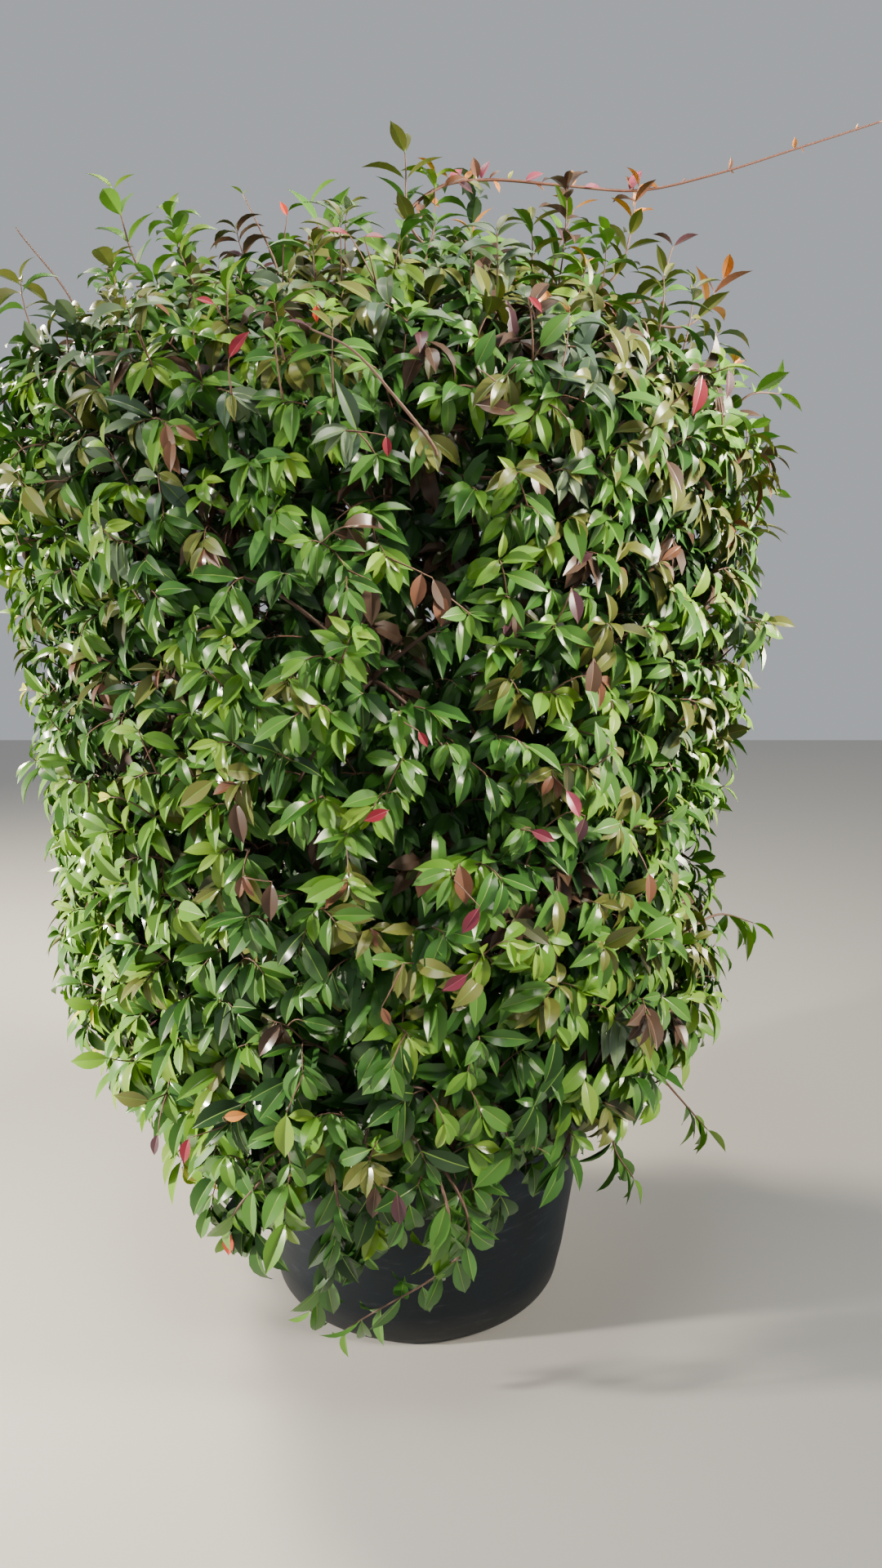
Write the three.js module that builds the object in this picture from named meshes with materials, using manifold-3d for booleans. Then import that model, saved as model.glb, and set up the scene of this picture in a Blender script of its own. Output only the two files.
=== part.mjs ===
// A star jasmine kept as a dense, upright shrub in a round black tub, in millimetres, +Z up.
// The origin is the centre of the tub's flat underside. +X is to the right as seen from the
// front, and the front faces -Y. A leader runs up the middle of the crown, each bough leaves it
// for one mass of foliage, and each mass keeps to the space nearer its own centre than any other.

import * as THREE from 'three';
import { mergeVertices } from 'three/addons/utils/BufferGeometryUtils.js';
import Module from 'manifold-3d';

const wasm = await Module();
wasm.setup();

// Clear space between pieces that meet
const gap = 0.3;

// The tub: a large moulded planter with a rolled collar
const potHeight = 440;
const potFootRadius = 286;
const potTopRadius = 349;
const potWall = 8;
const potFloor = 12;
const potEdgeRadius = 26;
const potEdgeSteps = 4;
const collarHeight = 30;
const collarProud = 8;
const collarRound = 6;
const potSides = 36;
const soilTop = 400;
const soilDish = { width: 40, drop: 8 };

// The crown's outline: its upright axis, its side radii and its roof
const crownX = -50;
const crownDepth = 0.92;
const hemHeight = 390;
const hemTilt = { right: 45, back: 30 };
const hemRadius = 575;
const hemRound = 150;
const hemTuck = 0.24;
const shoulderHeight = 1600;
const shoulderRadius = 668;
const sideSwell = 0.6;
const roofHeight = 1905;
const roofSquareness = 2.4;
const crownSpan = 1100;
// Foliage faces away from the middle of the crown, which runs between these heights
const heart = { low: 490, high: 1480, roofTilt: 1.6 };
const lumps = [
  { turns: 3, climb: 0.0061, phase: 0.4, share: 0.018 },
  { turns: 5, climb: -0.0083, phase: 2.1, share: 0.016 },
  { turns: 2, climb: 0.0142, phase: 4.4, share: 0.014 },
];
// Humps on the roof and hollows in the front: place, how far out or in, and spread
const humps = [
  { x: 120, y: -60, rise: 90, spread: 200 },
  { x: -470, y: -80, rise: 45, spread: 170 },
];
const hollows = [
  { x: 105, z: 1545, sink: 46, spread: 105 },
  { x: 45, z: 1395, sink: 50, spread: 105 },
  { x: 85, z: 1210, sink: 42, spread: 75 },
];

// The trunk: it leans from the middle of the soil to the crown's axis
const trunkBend = { x: -12, rise: 420 };
const trunkBaseRadius = 34;
const trunkRadius = 22;
const trunkTipRadius = 8;
const trunkTop = 1535;
const trunkSides = 8;
const trunkRings = 9;
const trunkRingSpacing = 1.5;
const flareHeight = 35;

// The column round the trunk that the masses leave free for the boughs
const columnRadius = 150;
const boughRadii = [9, 6.5];
const boughSides = 4;
const boughRings = 3;
const boughSquare = 70;

// Masses of foliage stand in rings round the axis, with each ring turned half a step. entry is
// the height where the boughs come in, and they leave the trunk lower by rise, in a climbing turn.
const rings = [
  { name: 'skirt', height: 560, reach: 470, count: 5, turn: 0, entry: 535, rise: 84, climb: 14 },
  { name: 'lower', height: 895, reach: 515, count: 5, turn: 0.5, entry: 835, rise: 160, climb: 25 },
  { name: 'middle', height: 1225, reach: 530, count: 5, turn: 0, entry: 1165, rise: 160, climb: 25 },
  { name: 'upper', height: 1545, reach: 530, count: 5, turn: 0.5, entry: 1485, rise: 160, climb: 25 },
  { name: 'top', height: 1800, reach: 225, count: 3, turn: 0.5, entry: 1560, rise: 80, climb: 20 },
];
const topBoughReach = 70;
const topBoughSquare = 40;
const cellMargin = 0.6;
const cellReach = { wide: 380, tall: 215, deep: 140 };
const coreDepth = 88;
const coreThickness = 52;
const coreRoughness = 36;
const coreSeam = 4;
const coreFloor = 452;
const coreHemShare = 0.6;
const coreFaces = { outside: [4, 22, 7], inside: [2, 10, 2] };
const stemTwigRadius = 4;
const stemSides = 5;
const potClearance = 6;

// Twigs and leaves: each large leaf stands for a spray of small ones
const twigsPerMass = 6;
const twigCandidates = 14;
const twigShy = 44;
const twigMargin = 24;
const twigBend = { at: 0.55, lift: 0.16 };
const twigRadii = [4.6, 4.2];
const twigSides = 3;
const nodeLength = 11;
const leafLength = 178;
const leafTries = 20;
const leafShrink = 0.98;
const leafWander = { first: 0.4, more: 0.16 };
const leafShape = { width: 0.4, thickness: 0.024, belly: 0.46, fold: 0.07, bend: 0.08 };
const leafOut = 0.6;
const leafDroop = { side: 0.75, roofShare: 0.25 };
const leafFaceUp = 0.55;
const leafRoll = 0.3;
const leafSpace = 44;
const leafSpill = 12;
const hemSpill = 70;

// Long shoots that stand above the crown or trail below it, by tip and the point they arch over
const longShoots = [
  { name: 'tall', arch: [-6, -80, 1950], tip: [-22, -90, 2085], leaves: 6, leaf: 84, from: 0.45 },
  { name: 'left tall', arch: [-440, -120, 1860], tip: [-480, -150, 1965], leaves: 6, leaf: 82, from: 0.4 },
  { name: 'left bare', arch: [-560, -110, 1800], tip: [-655, -100, 1935], leaves: 0, leaf: 60, from: 0.5 },
  { name: 'bud', arch: [-215, -170, 1850], tip: [-280, -100, 1990], leaves: 2, leaf: 40, from: 0.9 },
  { name: 'pair', arch: [-120, -260, 1830], tip: [-158, -200, 1930], leaves: 4, leaf: 88, from: 0.6 },
  { name: 'yellow', arch: [240, -70, 1900], tip: [272, -60, 1985], leaves: 5, leaf: 82, from: 0.6 },
  { name: 'bronze', arch: [345, -60, 1880], tip: [388, -20, 2040], leaves: 7, leaf: 72, from: 0.4 },
  { name: 'purple', arch: [410, -40, 1850], tip: [455, 0, 1940], leaves: 4, leaf: 72, from: 0.5 },
  { name: 'orange', arch: [470, -60, 1800], tip: [540, -20, 1880], leaves: 5, leaf: 76, from: 0.5 },
  { name: 'right arm', arch: [590, -20, 735], tip: [655, -10, 715], leaves: 4, leaf: 92, from: 0.6 },
  { name: 'right trail', arch: [505, -130, 400], tip: [565, -120, 330], leaves: 5, leaf: 84, from: 0.5 },
  { name: 'right low', arch: [345, -300, 415], tip: [385, -285, 330], leaves: 5, leaf: 84, from: 0.5 },
  { name: 'front trail', arch: [90, -520, 380], tip: [-118, -425, 120], leaves: 9, leaf: 92, from: 0.35 },
  { name: 'second trail', arch: [-110, -510, 400], tip: [-165, -425, 190], leaves: 8, leaf: 96, from: 0.4 },
  { name: 'third trail', arch: [60, -540, 420], tip: [45, -450, 300], leaves: 7, leaf: 96, from: 0.4 },
  { name: 'left trail', arch: [-260, -500, 420], tip: [-300, -440, 310], leaves: 7, leaf: 92, from: 0.4 },
];
const longShootRadii = [3.8, 2.6];
const shootLeaves = { forward: 0.75, droop: 0.3, roll: 0.25, sizes: [0.85, 1.15] };
const shootStretch = 110;

// The runner: a long young shoot that arches off the roof to the right
const runnerPoints = [
  [51, -83, 1790],
  [-12, -80, 1960],
  [45, -62, 2020],
  [125, -50, 2036],
  [260, -30, 2034],
  [395, 0, 2037],
  [520, 0, 2062],
  [670, 0, 2106],
  [810, 0, 2148],
];
const runnerRadii = [3.4, 1.8];
const runnerSides = 4;
const runnerLeaves = { count: 12, from: 0.3, size: 46 };
const runnerStretch = 60;
const runnerClear = 16;
const runnerSeed = 7;

const colours = {
  pot: 0x23262b,
  soil: 0x2d211a,
  bark: 0x6a4c3c,
  foliage: 0x3f6f2a,
  runner: 0x9a5f3f,
};

const up = new THREE.Vector3(0, 0, 1);

// Repeatable random numbers between 0 and 1
function seededRandom(seed) {
  let state = seed;
  return () => {
    state = (state + 0x6d2b79f5) | 0;
    let mixed = Math.imul(state ^ (state >>> 15), 1 | state);
    mixed = (mixed + Math.imul(mixed ^ (mixed >>> 7), 61 | mixed)) ^ mixed;
    return ((mixed ^ (mixed >>> 14)) >>> 0) / 4294967296;
  };
}

function vector(values) {
  return new THREE.Vector3(...values);
}

// A geometry with shared corners and no slivers at its poles
function closedGeometry(geometry) {
  geometry.deleteAttribute('normal');
  geometry.deleteAttribute('uv');
  const merged = mergeVertices(geometry, 1e-3);
  const corners = merged.index.array;
  const kept = [];
  for (let i = 0; i < corners.length; i += 3) {
    const [a, b, c] = corners.slice(i, i + 3);
    if (a !== b && b !== c && c !== a) kept.push(a, b, c);
  }
  merged.setIndex(kept);
  return merged;
}

function toSolid(geometry) {
  const merged = closedGeometry(geometry);
  const mesh = new wasm.Mesh({
    numProp: 3,
    vertProperties: new Float32Array(merged.attributes.position.array),
    triVerts: new Uint32Array(merged.index.array),
  });
  return new wasm.Manifold(mesh);
}

// The largest body of a solid: sealed hollows are filled and loose scraps dropped
function largestBody(solid) {
  return solid.decompose().reduce((best, piece) => (piece.volume() > best.volume() ? piece : best));
}

function fromSolid(solid) {
  const mesh = solid.getMesh();
  const geometry = new THREE.BufferGeometry();
  geometry.setAttribute('position', new THREE.BufferAttribute(mesh.vertProperties, 3));
  geometry.setIndex(new THREE.BufferAttribute(mesh.triVerts, 1));
  geometry.computeVertexNormals();
  return geometry;
}

function named(name, geometry, colour, roughness) {
  const material = new THREE.MeshStandardMaterial({ color: colour, roughness, metalness: 0 });
  const mesh = new THREE.Mesh(geometry, material);
  mesh.name = name;
  return mesh;
}

// A tapering limb along a curve, as one closed mesh of rings. leafAt may give the corners of a
// leaf for a side face of the limb, and that face is then drawn out into the leaf.
function limb(curve, radii, sides, stations, leafAt = () => null) {
  const chord = curve.getPoint(1).sub(curve.getPoint(0));
  const level = chord.cross(up);
  if (level.length() < 1e-3) level.set(0, 1, 0);
  level.normalize();
  const points = [];
  const faces = [];
  for (const along of stations) {
    const centre = curve.getPoint(along);
    const tangent = curve.getTangent(along);
    const rise = level.clone().cross(tangent).normalize();
    const side = tangent.clone().cross(rise);
    const radius = THREE.MathUtils.lerp(...radii, along);
    for (let i = 0; i < sides; i += 1) {
      const turn = Math.PI / 2 + (2 * Math.PI * i) / sides;
      const point = centre.clone().addScaledVector(side, -radius * Math.cos(turn));
      points.push(point.addScaledVector(rise, radius * Math.sin(turn)));
    }
  }
  const last = (stations.length - 1) * sides;
  for (let i = 1; i < sides - 1; i += 1) {
    faces.push(0, i + 1, i);
    faces.push(last, last + i, last + i + 1);
  }
  for (let ring = 0; ring < stations.length - 1; ring += 1) {
    for (let i = 0; i < sides; i += 1) {
      const next = (i + 1) % sides;
      const low = ring * sides;
      const corners = [low + i, low + next, low + sides + next, low + sides + i];
      const leaf = leafAt(ring, i, corners.map((index) => points[index]));
      if (leaf) addLeaf(points, faces, corners, leaf);
      else faces.push(corners[0], corners[1], corners[2], corners[0], corners[2], corners[3]);
    }
  }
  const geometry = new THREE.BufferGeometry().setFromPoints(points);
  geometry.setIndex(faces);
  return geometry;
}

// Draws a four-sided face out into a leaf: root ring, belly ring and tip
function addLeaf(points, faces, root, leaf) {
  const belly = [leaf.left, leaf.above, leaf.right, leaf.below];
  const stretch = (shift) => root.reduce((sum, corner, i) => {
    const own = belly[(i + shift) % 4];
    return sum + points[corner].distanceTo(own) + points[root[(i + 1) % 4]].distanceTo(own);
  }, 0);
  const shift = [0, 1, 2, 3].reduce((best, k) => (stretch(k) < stretch(best) ? k : best));
  const first = points.length;
  for (let i = 0; i < 4; i += 1) points.push(belly[(i + shift) % 4]);
  points.push(leaf.tip);
  for (let i = 0; i < 4; i += 1) {
    const next = (i + 1) % 4;
    faces.push(root[i], root[next], first + i);
    faces.push(root[next], first + next, first + i);
    faces.push(first + i, first + next, first + 4);
  }
}

function evenly(count, from = 0, to = 1) {
  return Array.from({ length: count + 1 }, (_, i) => THREE.MathUtils.lerp(from, to, i / count));
}

// The crown's side radius at an angle and height, before the hem's tuck
function sideRadius(angle, height) {
  const climb = THREE.MathUtils.clamp((height - hemHeight) / (shoulderHeight - hemHeight), 0, 1);
  let radius = hemRadius + (shoulderRadius - hemRadius) * climb ** sideSwell;
  for (const lump of lumps) {
    radius *= 1 + lump.share * Math.sin(lump.turns * angle + lump.climb * height + lump.phase);
  }
  if (Math.sin(angle) < 0) {
    for (const hollow of hollows) {
      const across = crownX + radius * Math.cos(angle) - hollow.x;
      const away = Math.hypot(across, height - hollow.z) / hollow.spread;
      radius -= hollow.sink * Math.exp(-away * away) * -Math.sin(angle);
    }
  }
  return radius;
}

function hemAt(angle) {
  return hemHeight + hemTilt.right * Math.cos(angle) + hemTilt.back * Math.sin(angle);
}

// True if a point lies inside the crown's outline, or within spare millimetres of it
function insideCrown(point, spare = 0, below = spare) {
  const across = point.x - crownX;
  const away = point.y / crownDepth;
  const angle = Math.atan2(away, across);
  const distance = Math.hypot(across, away);
  const hem = hemAt(angle);
  if (point.z < hem - below) return false;
  const tuck = Math.max(0, (hem + hemRound - point.z) / hemRound);
  const radius = sideRadius(angle, Math.min(point.z, shoulderHeight)) * (1 - hemTuck * tuck * tuck);
  if (distance > radius + spare) return false;
  const out = Math.min(distance / radius, 1);
  const dome = (1 - out ** roofSquareness) ** (1 / roofSquareness);
  let roof = shoulderHeight + (roofHeight - shoulderHeight) * dome;
  for (const hump of humps) {
    const off = Math.hypot(point.x - hump.x, point.y - hump.y) / hump.spread;
    roof += hump.rise * Math.exp(-off * off);
  }
  return point.z < roof + spare;
}

// How far the crown's surface lies from a point inside it, along a direction
function reachToSurface(from, direction) {
  let near = 0;
  let far = crownSpan;
  while (far - near > 1) {
    const middle = (near + far) / 2;
    if (insideCrown(from.clone().addScaledVector(direction, middle))) near = middle;
    else far = middle;
  }
  return near;
}

// The way that foliage faces at a point: level at the sides and upward on the roof
function outwardAt(point) {
  const rise = point.z - THREE.MathUtils.clamp(point.z, heart.low, heart.high);
  const level = new THREE.Vector3(point.x - crownX, point.y / crownDepth, rise * heart.roofTilt);
  return level.normalize();
}

// A plane that keeps the tub on its far side, or null if none of three does
function clearOfPot(points) {
  const middle = points.reduce((sum, point) => sum.add(point), new THREE.Vector3());
  const level = Math.atan2(middle.y, middle.x);
  return [0, Math.PI / 4, Math.PI / 2].some((tilt) => {
    const normal = new THREE.Vector3(
      Math.cos(level) * Math.cos(tilt),
      Math.sin(level) * Math.cos(tilt),
      Math.sin(tilt),
    );
    const edge = (potTopRadius + collarProud) * Math.cos(tilt) + potHeight * Math.sin(tilt);
    return points.every((point) => point.dot(normal) > edge + potClearance);
  });
}

const trunkCurve = new THREE.QuadraticBezierCurve3(
  new THREE.Vector3(0, 0, soilTop + gap),
  new THREE.Vector3(trunkBend.x, 0, soilTop + trunkBend.rise),
  new THREE.Vector3(crownX, 0, trunkTop),
);

function trunkAt(height) {
  return trunkCurve.getPoint((height - soilTop) / (trunkTop - soilTop));
}

// The trunk with its root flare, from a flat cut on the soil to its tip inside the crown
function trunkGeometry(grow = 0) {
  const geometry = new THREE.CylinderGeometry(1, 1, 1, trunkSides, trunkRings);
  const place = geometry.attributes.position;
  for (let i = 0; i < place.count; i += 1) {
    const step = THREE.MathUtils.clamp(place.getY(i) + 0.5, 0, 1);
    const along = step ** trunkRingSpacing;
    const centre = trunkCurve.getPoint(along);
    const flare = (trunkBaseRadius - trunkRadius) * Math.exp((soilTop - centre.z) / flareHeight);
    const radius = THREE.MathUtils.lerp(trunkRadius, trunkTipRadius, along) + flare + grow;
    place.setXYZ(i, centre.x + place.getZ(i) * radius, centre.y + place.getX(i) * radius, centre.z);
  }
  return geometry;
}

// One entry per mass: where its centre is, which way it faces and where its bough comes in
const masses = [];
rings.forEach((ring, level) => {
  for (let i = 0; i < ring.count; i += 1) {
    const angle = -Math.PI / 2 + ((i + ring.turn) * 2 * Math.PI) / ring.count;
    const outward = new THREE.Vector3(Math.cos(angle), Math.sin(angle), 0);
    const onTop = ring.name === 'top';
    const centre = new THREE.Vector3(
      crownX + ring.reach * outward.x,
      ring.reach * crownDepth * outward.y,
      ring.height,
    );
    const facing = onTop ? up.clone() : outward.clone();
    const entry = new THREE.Vector3(crownX, 0, ring.entry);
    entry.addScaledVector(outward, onTop ? topBoughReach : columnRadius);
    const boughFrom = ring.entry - ring.rise + ring.climb * (onTop ? 2 - i : ring.count - 1 - i);
    const square = onTop ? topBoughSquare : boughSquare;
    const across = onTop ? new THREE.Vector3(1, 0, 0) : up.clone().cross(outward);
    const along = facing.clone().cross(across);
    const name = `${ring.name}_${i + 1}`;
    const seed = 100 * (level + 1) + i;
    masses.push({ name, centre, facing, across, along, entry, boughFrom, square, seed });
  }
});

// The flat sides of each mass's space: halfway to every other mass, clear of the column
for (const mass of masses) {
  mass.planes = masses
    .filter((other) => other !== mass)
    .map((other) => {
      const normal = other.centre.clone().sub(mass.centre).normalize();
      const middle = other.centre.clone().add(mass.centre).multiplyScalar(0.5);
      return { normal, offset: normal.dot(middle) - cellMargin };
    });
  const inner = mass.facing.clone().negate();
  mass.planes.push({ normal: inner, offset: inner.dot(mass.entry) - gap / 2 });
}

function insideCell(mass, points, margin = 0) {
  return mass.planes.every(({ normal, offset }) =>
    points.every((point) => point.dot(normal) < offset - margin),
  );
}

// Boughs leave the trunk in turn, rise and level out, and end square where their mass begins
function boughCurve(mass) {
  const end = mass.entry.clone().addScaledVector(mass.facing, -gap / 2);
  const bend = end.clone().addScaledVector(mass.facing, -mass.square);
  return new THREE.QuadraticBezierCurve3(trunkAt(mass.boughFrom), bend, end);
}

function boughSolid(mass) {
  const tube = limb(boughCurve(mass), boughRadii, boughSides, evenly(boughRings));
  return largestBody(toSolid(tube).subtract(toSolid(trunkGeometry(gap))));
}

// A leaf's corners past its root: two edges, the two faces of its fold, and its tip
function leafCorners(root, direction, face, length) {
  const across = direction.clone().cross(face).normalize();
  const normal = across.clone().cross(direction);
  const belly = root.clone().addScaledVector(direction, length * leafShape.belly);
  const half = (length * leafShape.width) / 2;
  const deep = (length * leafShape.thickness) / 2;
  const fold = (length * leafShape.fold) / 2;
  return {
    tip: root.clone().addScaledVector(direction, length).addScaledVector(normal, -length * leafShape.bend),
    left: belly.clone().addScaledVector(across, -half),
    right: belly.clone().addScaledVector(across, half),
    above: belly.clone().addScaledVector(normal, deep - fold),
    below: belly.clone().addScaledVector(normal, -deep - fold),
  };
}

// The upper face of a leaf looks outward and up, turned a little at random
function leafFace(direction, outward, roll) {
  const face = outward.clone().addScaledVector(up, leafFaceUp);
  face.addScaledVector(direction, -face.dot(direction)).normalize();
  return face.applyAxisAngle(direction, roll);
}

const runnerCurve = new THREE.CatmullRomCurve3(runnerPoints.map(vector));
const runnerTrack = runnerCurve.getPoints(60);

function nearRunner(points) {
  return points.some((point) => runnerTrack.some((spot) => spot.distanceTo(point) < runnerClear));
}

function leafPoints(root, corners) {
  const points = [root, ...Object.values(corners)];
  points.push(root.clone().lerp(corners.tip, 0.25), root.clone().lerp(corners.tip, 0.75));
  return points;
}

// Twig tips spread over the mass's part of the crown's surface, each far from those before it
function twigTips(mass, random) {
  const tips = [];
  for (let i = 0; i < twigsPerMass; i += 1) {
    let best = null;
    let bestRoom = -1;
    for (let k = 0; k < twigCandidates; k += 1) {
      const direction = mass.facing.clone().multiplyScalar(cellReach.deep);
      direction.addScaledVector(mass.across, cellReach.wide * (2 * random() - 1));
      direction.addScaledVector(mass.along, cellReach.tall * (2 * random() - 1)).normalize();
      const surface = mass.centre.clone().addScaledVector(direction, reachToSurface(mass.centre, direction));
      const tip = surface.addScaledVector(outwardAt(surface), -twigShy);
      const room = Math.min(crownSpan, ...tips.map((other) => other.distanceTo(tip)));
      if (room > bestRoom && insideCell(mass, [tip], twigMargin) && clearOfPot([tip])) {
        best = tip;
        bestRoom = room;
      }
    }
    if (best) tips.push(best);
  }
  return tips;
}

function twigCurve(mass, tip) {
  const bend = mass.centre.clone().lerp(tip, twigBend.at);
  bend.z += twigBend.lift * mass.centre.distanceTo(tip);
  return new THREE.QuadraticBezierCurve3(mass.centre.clone(), bend, tip);
}

// A twig with a whorl of three hanging leaves at its tip, as large as the space allows
function twigSolid(mass, tip, random, placed) {
  const curve = twigCurve(mass, tip);
  const length = curve.getLength();
  const node = 1 - nodeLength / length;
  const outward = outwardAt(tip);
  const droop = leafDroop.side * THREE.MathUtils.lerp(1, leafDroop.roofShare, Math.max(0, outward.z));
  const leafAt = (ring, i, quad) => {
    if (ring < 1) return null;
    const root = quad.reduce((sum, corner) => sum.add(corner), new THREE.Vector3()).divideScalar(4);
    const away = root.clone().sub(curve.getPoint((1 + node) / 2)).normalize();
    for (let attempt = 0; attempt < leafTries; attempt += 1) {
      const spread = leafWander.first + leafWander.more * attempt;
      const wander = vector([random(), random(), random()]).subScalar(0.5).multiplyScalar(2 * spread);
      const direction = away.clone().addScaledVector(outward, leafOut).add(wander);
      direction.addScaledVector(up, -droop).normalize();
      const face = leafFace(direction, outward, leafRoll * (2 * random() - 1));
      const corners = leafCorners(root, direction, face, leafLength * leafShrink ** attempt);
      const points = leafPoints(root, corners);
      const spots = [corners.above, corners.tip];
      const crowded = placed.some((other) => spots.some((spot) => spot.distanceTo(other) < leafSpace));
      const sunk = points.some((point) => insideCrown(point, -coreDepth));
      const inCrown = points.every((point) => insideCrown(point, leafSpill, hemSpill));
      if (crowded || sunk || !inCrown || !insideCell(mass, points)) continue;
      if (!clearOfPot(points) || nearRunner(points)) continue;
      placed.push(...spots);
      return corners;
    }
    return null;
  };
  return toSolid(limb(curve, twigRadii, twigSides, [0, node, 1], leafAt));
}

// The crown's body under its outline: a capsule whose points are moved out to that depth, less
// deep at the hem, with facets that stand in and out by the roughness
function crownBody(depth, roughness, [capRows, columns, sideRows]) {
  const random = seededRandom(columns);
  const geometry = new THREE.CapsuleGeometry(1, 2, capRows, columns, sideRows).rotateX(Math.PI / 2);
  const merged = closedGeometry(geometry);
  const place = merged.attributes.position;
  for (let i = 0; i < place.count; i += 1) {
    const share = THREE.MathUtils.clamp(place.getZ(i), -1, 1);
    const direction = new THREE.Vector3(place.getX(i), place.getY(i), place.getZ(i) - share).normalize();
    const height = THREE.MathUtils.mapLinear(share, -1, 1, hemHeight + hemRound, shoulderHeight);
    const point = new THREE.Vector3(crownX, 0, height);
    const cover = (depth + roughness * random()) * (1 - coreHemShare * Math.max(0, -direction.z));
    point.addScaledVector(direction, reachToSurface(point, direction) - cover);
    place.setXYZ(i, point.x, point.y, point.z);
  }
  return toSolid(merged);
}

const crownShell = crownBody(coreDepth, coreRoughness, coreFaces.outside)
  .subtract(crownBody(coreDepth + coreThickness, 0, coreFaces.inside))
  .trimByPlane([0, 0, 1], coreFloor);

// A dense core: the part of the shell that lies in the mass's own space
function coreSolid(mass) {
  return mass.planes.reduce(
    (solid, { normal, offset }) => solid.trimByPlane(normal.clone().negate().toArray(), coreSeam - offset),
    crownShell,
  );
}

// Where a leafy shoot has its rings, and which pair of leaves each stretch bears, or -1 for none
function shootPlan(curve, leafCount, from, longest) {
  const pairs = Math.ceil(leafCount / 2);
  const length = curve.getLength();
  const stations = [0];
  const pairOf = [];
  const runTo = (along) => {
    const start = stations.at(-1);
    const parts = Math.ceil(((along - start) * length) / longest);
    for (let i = 1; i <= parts; i += 1) {
      stations.push(start + ((along - start) * i) / parts);
      pairOf.push(-1);
    }
  };
  for (let pair = 0; pair < pairs; pair += 1) {
    const along = THREE.MathUtils.lerp(from, 1, pairs > 1 ? pair / (pairs - 1) : 1);
    runTo(along - nodeLength / length);
    stations.push(along);
    pairOf.push(pair);
  }
  if (pairs === 0) runTo(1);
  return { stations, pairOf };
}

// A long shoot with leaves in pairs, each pair turned from the last
function leafyShoot(curve, radii, sides, leafCount, size, plan, random, fits) {
  let left = leafCount;
  const leafAt = (ring, i, quad) => {
    const pair = plan.pairOf[ring];
    const turned = sides === 4 ? i % 2 === pair % 2 : (i + pair) % 3 !== 0;
    if (pair < 0 || !turned || left === 0) return null;
    const root = quad.reduce((sum, corner) => sum.add(corner), new THREE.Vector3()).divideScalar(4);
    const along = (plan.stations[ring] + plan.stations[ring + 1]) / 2;
    const away = root.clone().sub(curve.getPoint(along)).normalize();
    const direction = away.addScaledVector(curve.getTangent(along), shootLeaves.forward);
    direction.addScaledVector(up, -shootLeaves.droop).normalize();
    const face = leafFace(direction, outwardAt(root), shootLeaves.roll * (2 * random() - 1));
    const length = size * THREE.MathUtils.lerp(...shootLeaves.sizes, random());
    const corners = leafCorners(root, direction, face, length);
    if (!fits(leafPoints(root, corners))) return null;
    left -= 1;
    return corners;
  };
  return toSolid(limb(curve, radii, sides, plan.stations, leafAt));
}

function nearestMass(point) {
  return masses.reduce((best, mass) =>
    mass.centre.distanceTo(point) < best.centre.distanceTo(point) ? mass : best,
  );
}

function longShootSolids(mass, random) {
  const fits = (points) => insideCell(mass, points) && clearOfPot(points) && !nearRunner(points);
  return longShoots
    .filter((shoot) => nearestMass(vector(shoot.tip)) === mass)
    .map((shoot) => {
      const curve = new THREE.CatmullRomCurve3([mass.centre, vector(shoot.arch), vector(shoot.tip)]);
      const { leaves, from, leaf } = shoot;
      const plan = shootPlan(curve, leaves, from, shootStretch);
      return leafyShoot(curve, longShootRadii, 3, leaves, leaf, plan, random, fits);
    });
}

const runnerPlan = shootPlan(runnerCurve, runnerLeaves.count, runnerLeaves.from, runnerStretch);

// One mass: its stem, core, twigs and leaves joined, and cut clear of the runner where it starts
function massSolid(mass) {
  const random = seededRandom(mass.seed);
  const start = mass.entry.clone().addScaledVector(mass.facing, gap / 2);
  const bend = start.clone().addScaledVector(mass.facing, start.distanceTo(mass.centre) / 2);
  const stem = new THREE.QuadraticBezierCurve3(start, bend, mass.centre.clone());
  let solid = toSolid(limb(stem, [boughRadii[1], stemTwigRadius], stemSides, evenly(2)));
  const placed = [];
  const pieces = twigTips(mass, random).map((tip) => twigSolid(mass, tip, random, placed));
  pieces.push(coreSolid(mass), ...longShootSolids(mass, random));
  for (const piece of pieces) solid = solid.add(piece);
  if (mass.name === 'top_1') solid = solid.subtract(runnerTube(gap));
  return largestBody(solid);
}

function runnerTube(grow) {
  const radii = runnerRadii.map((radius) => radius + grow * Math.SQRT2);
  return toSolid(limb(runnerCurve, radii, runnerSides, runnerPlan.stations));
}

function runnerSolid() {
  const { count, size } = runnerLeaves;
  const random = seededRandom(runnerSeed);
  return leafyShoot(runnerCurve, runnerRadii, runnerSides, count, size, runnerPlan, random, () => true);
}

// A turned profile stood upright
function lathed(points) {
  const geometry = new THREE.LatheGeometry(points, potSides);
  geometry.rotateX(Math.PI / 2);
  return geometry;
}

function potRadiusAt(height) {
  return THREE.MathUtils.lerp(potFootRadius, potTopRadius, height / potHeight);
}

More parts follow.
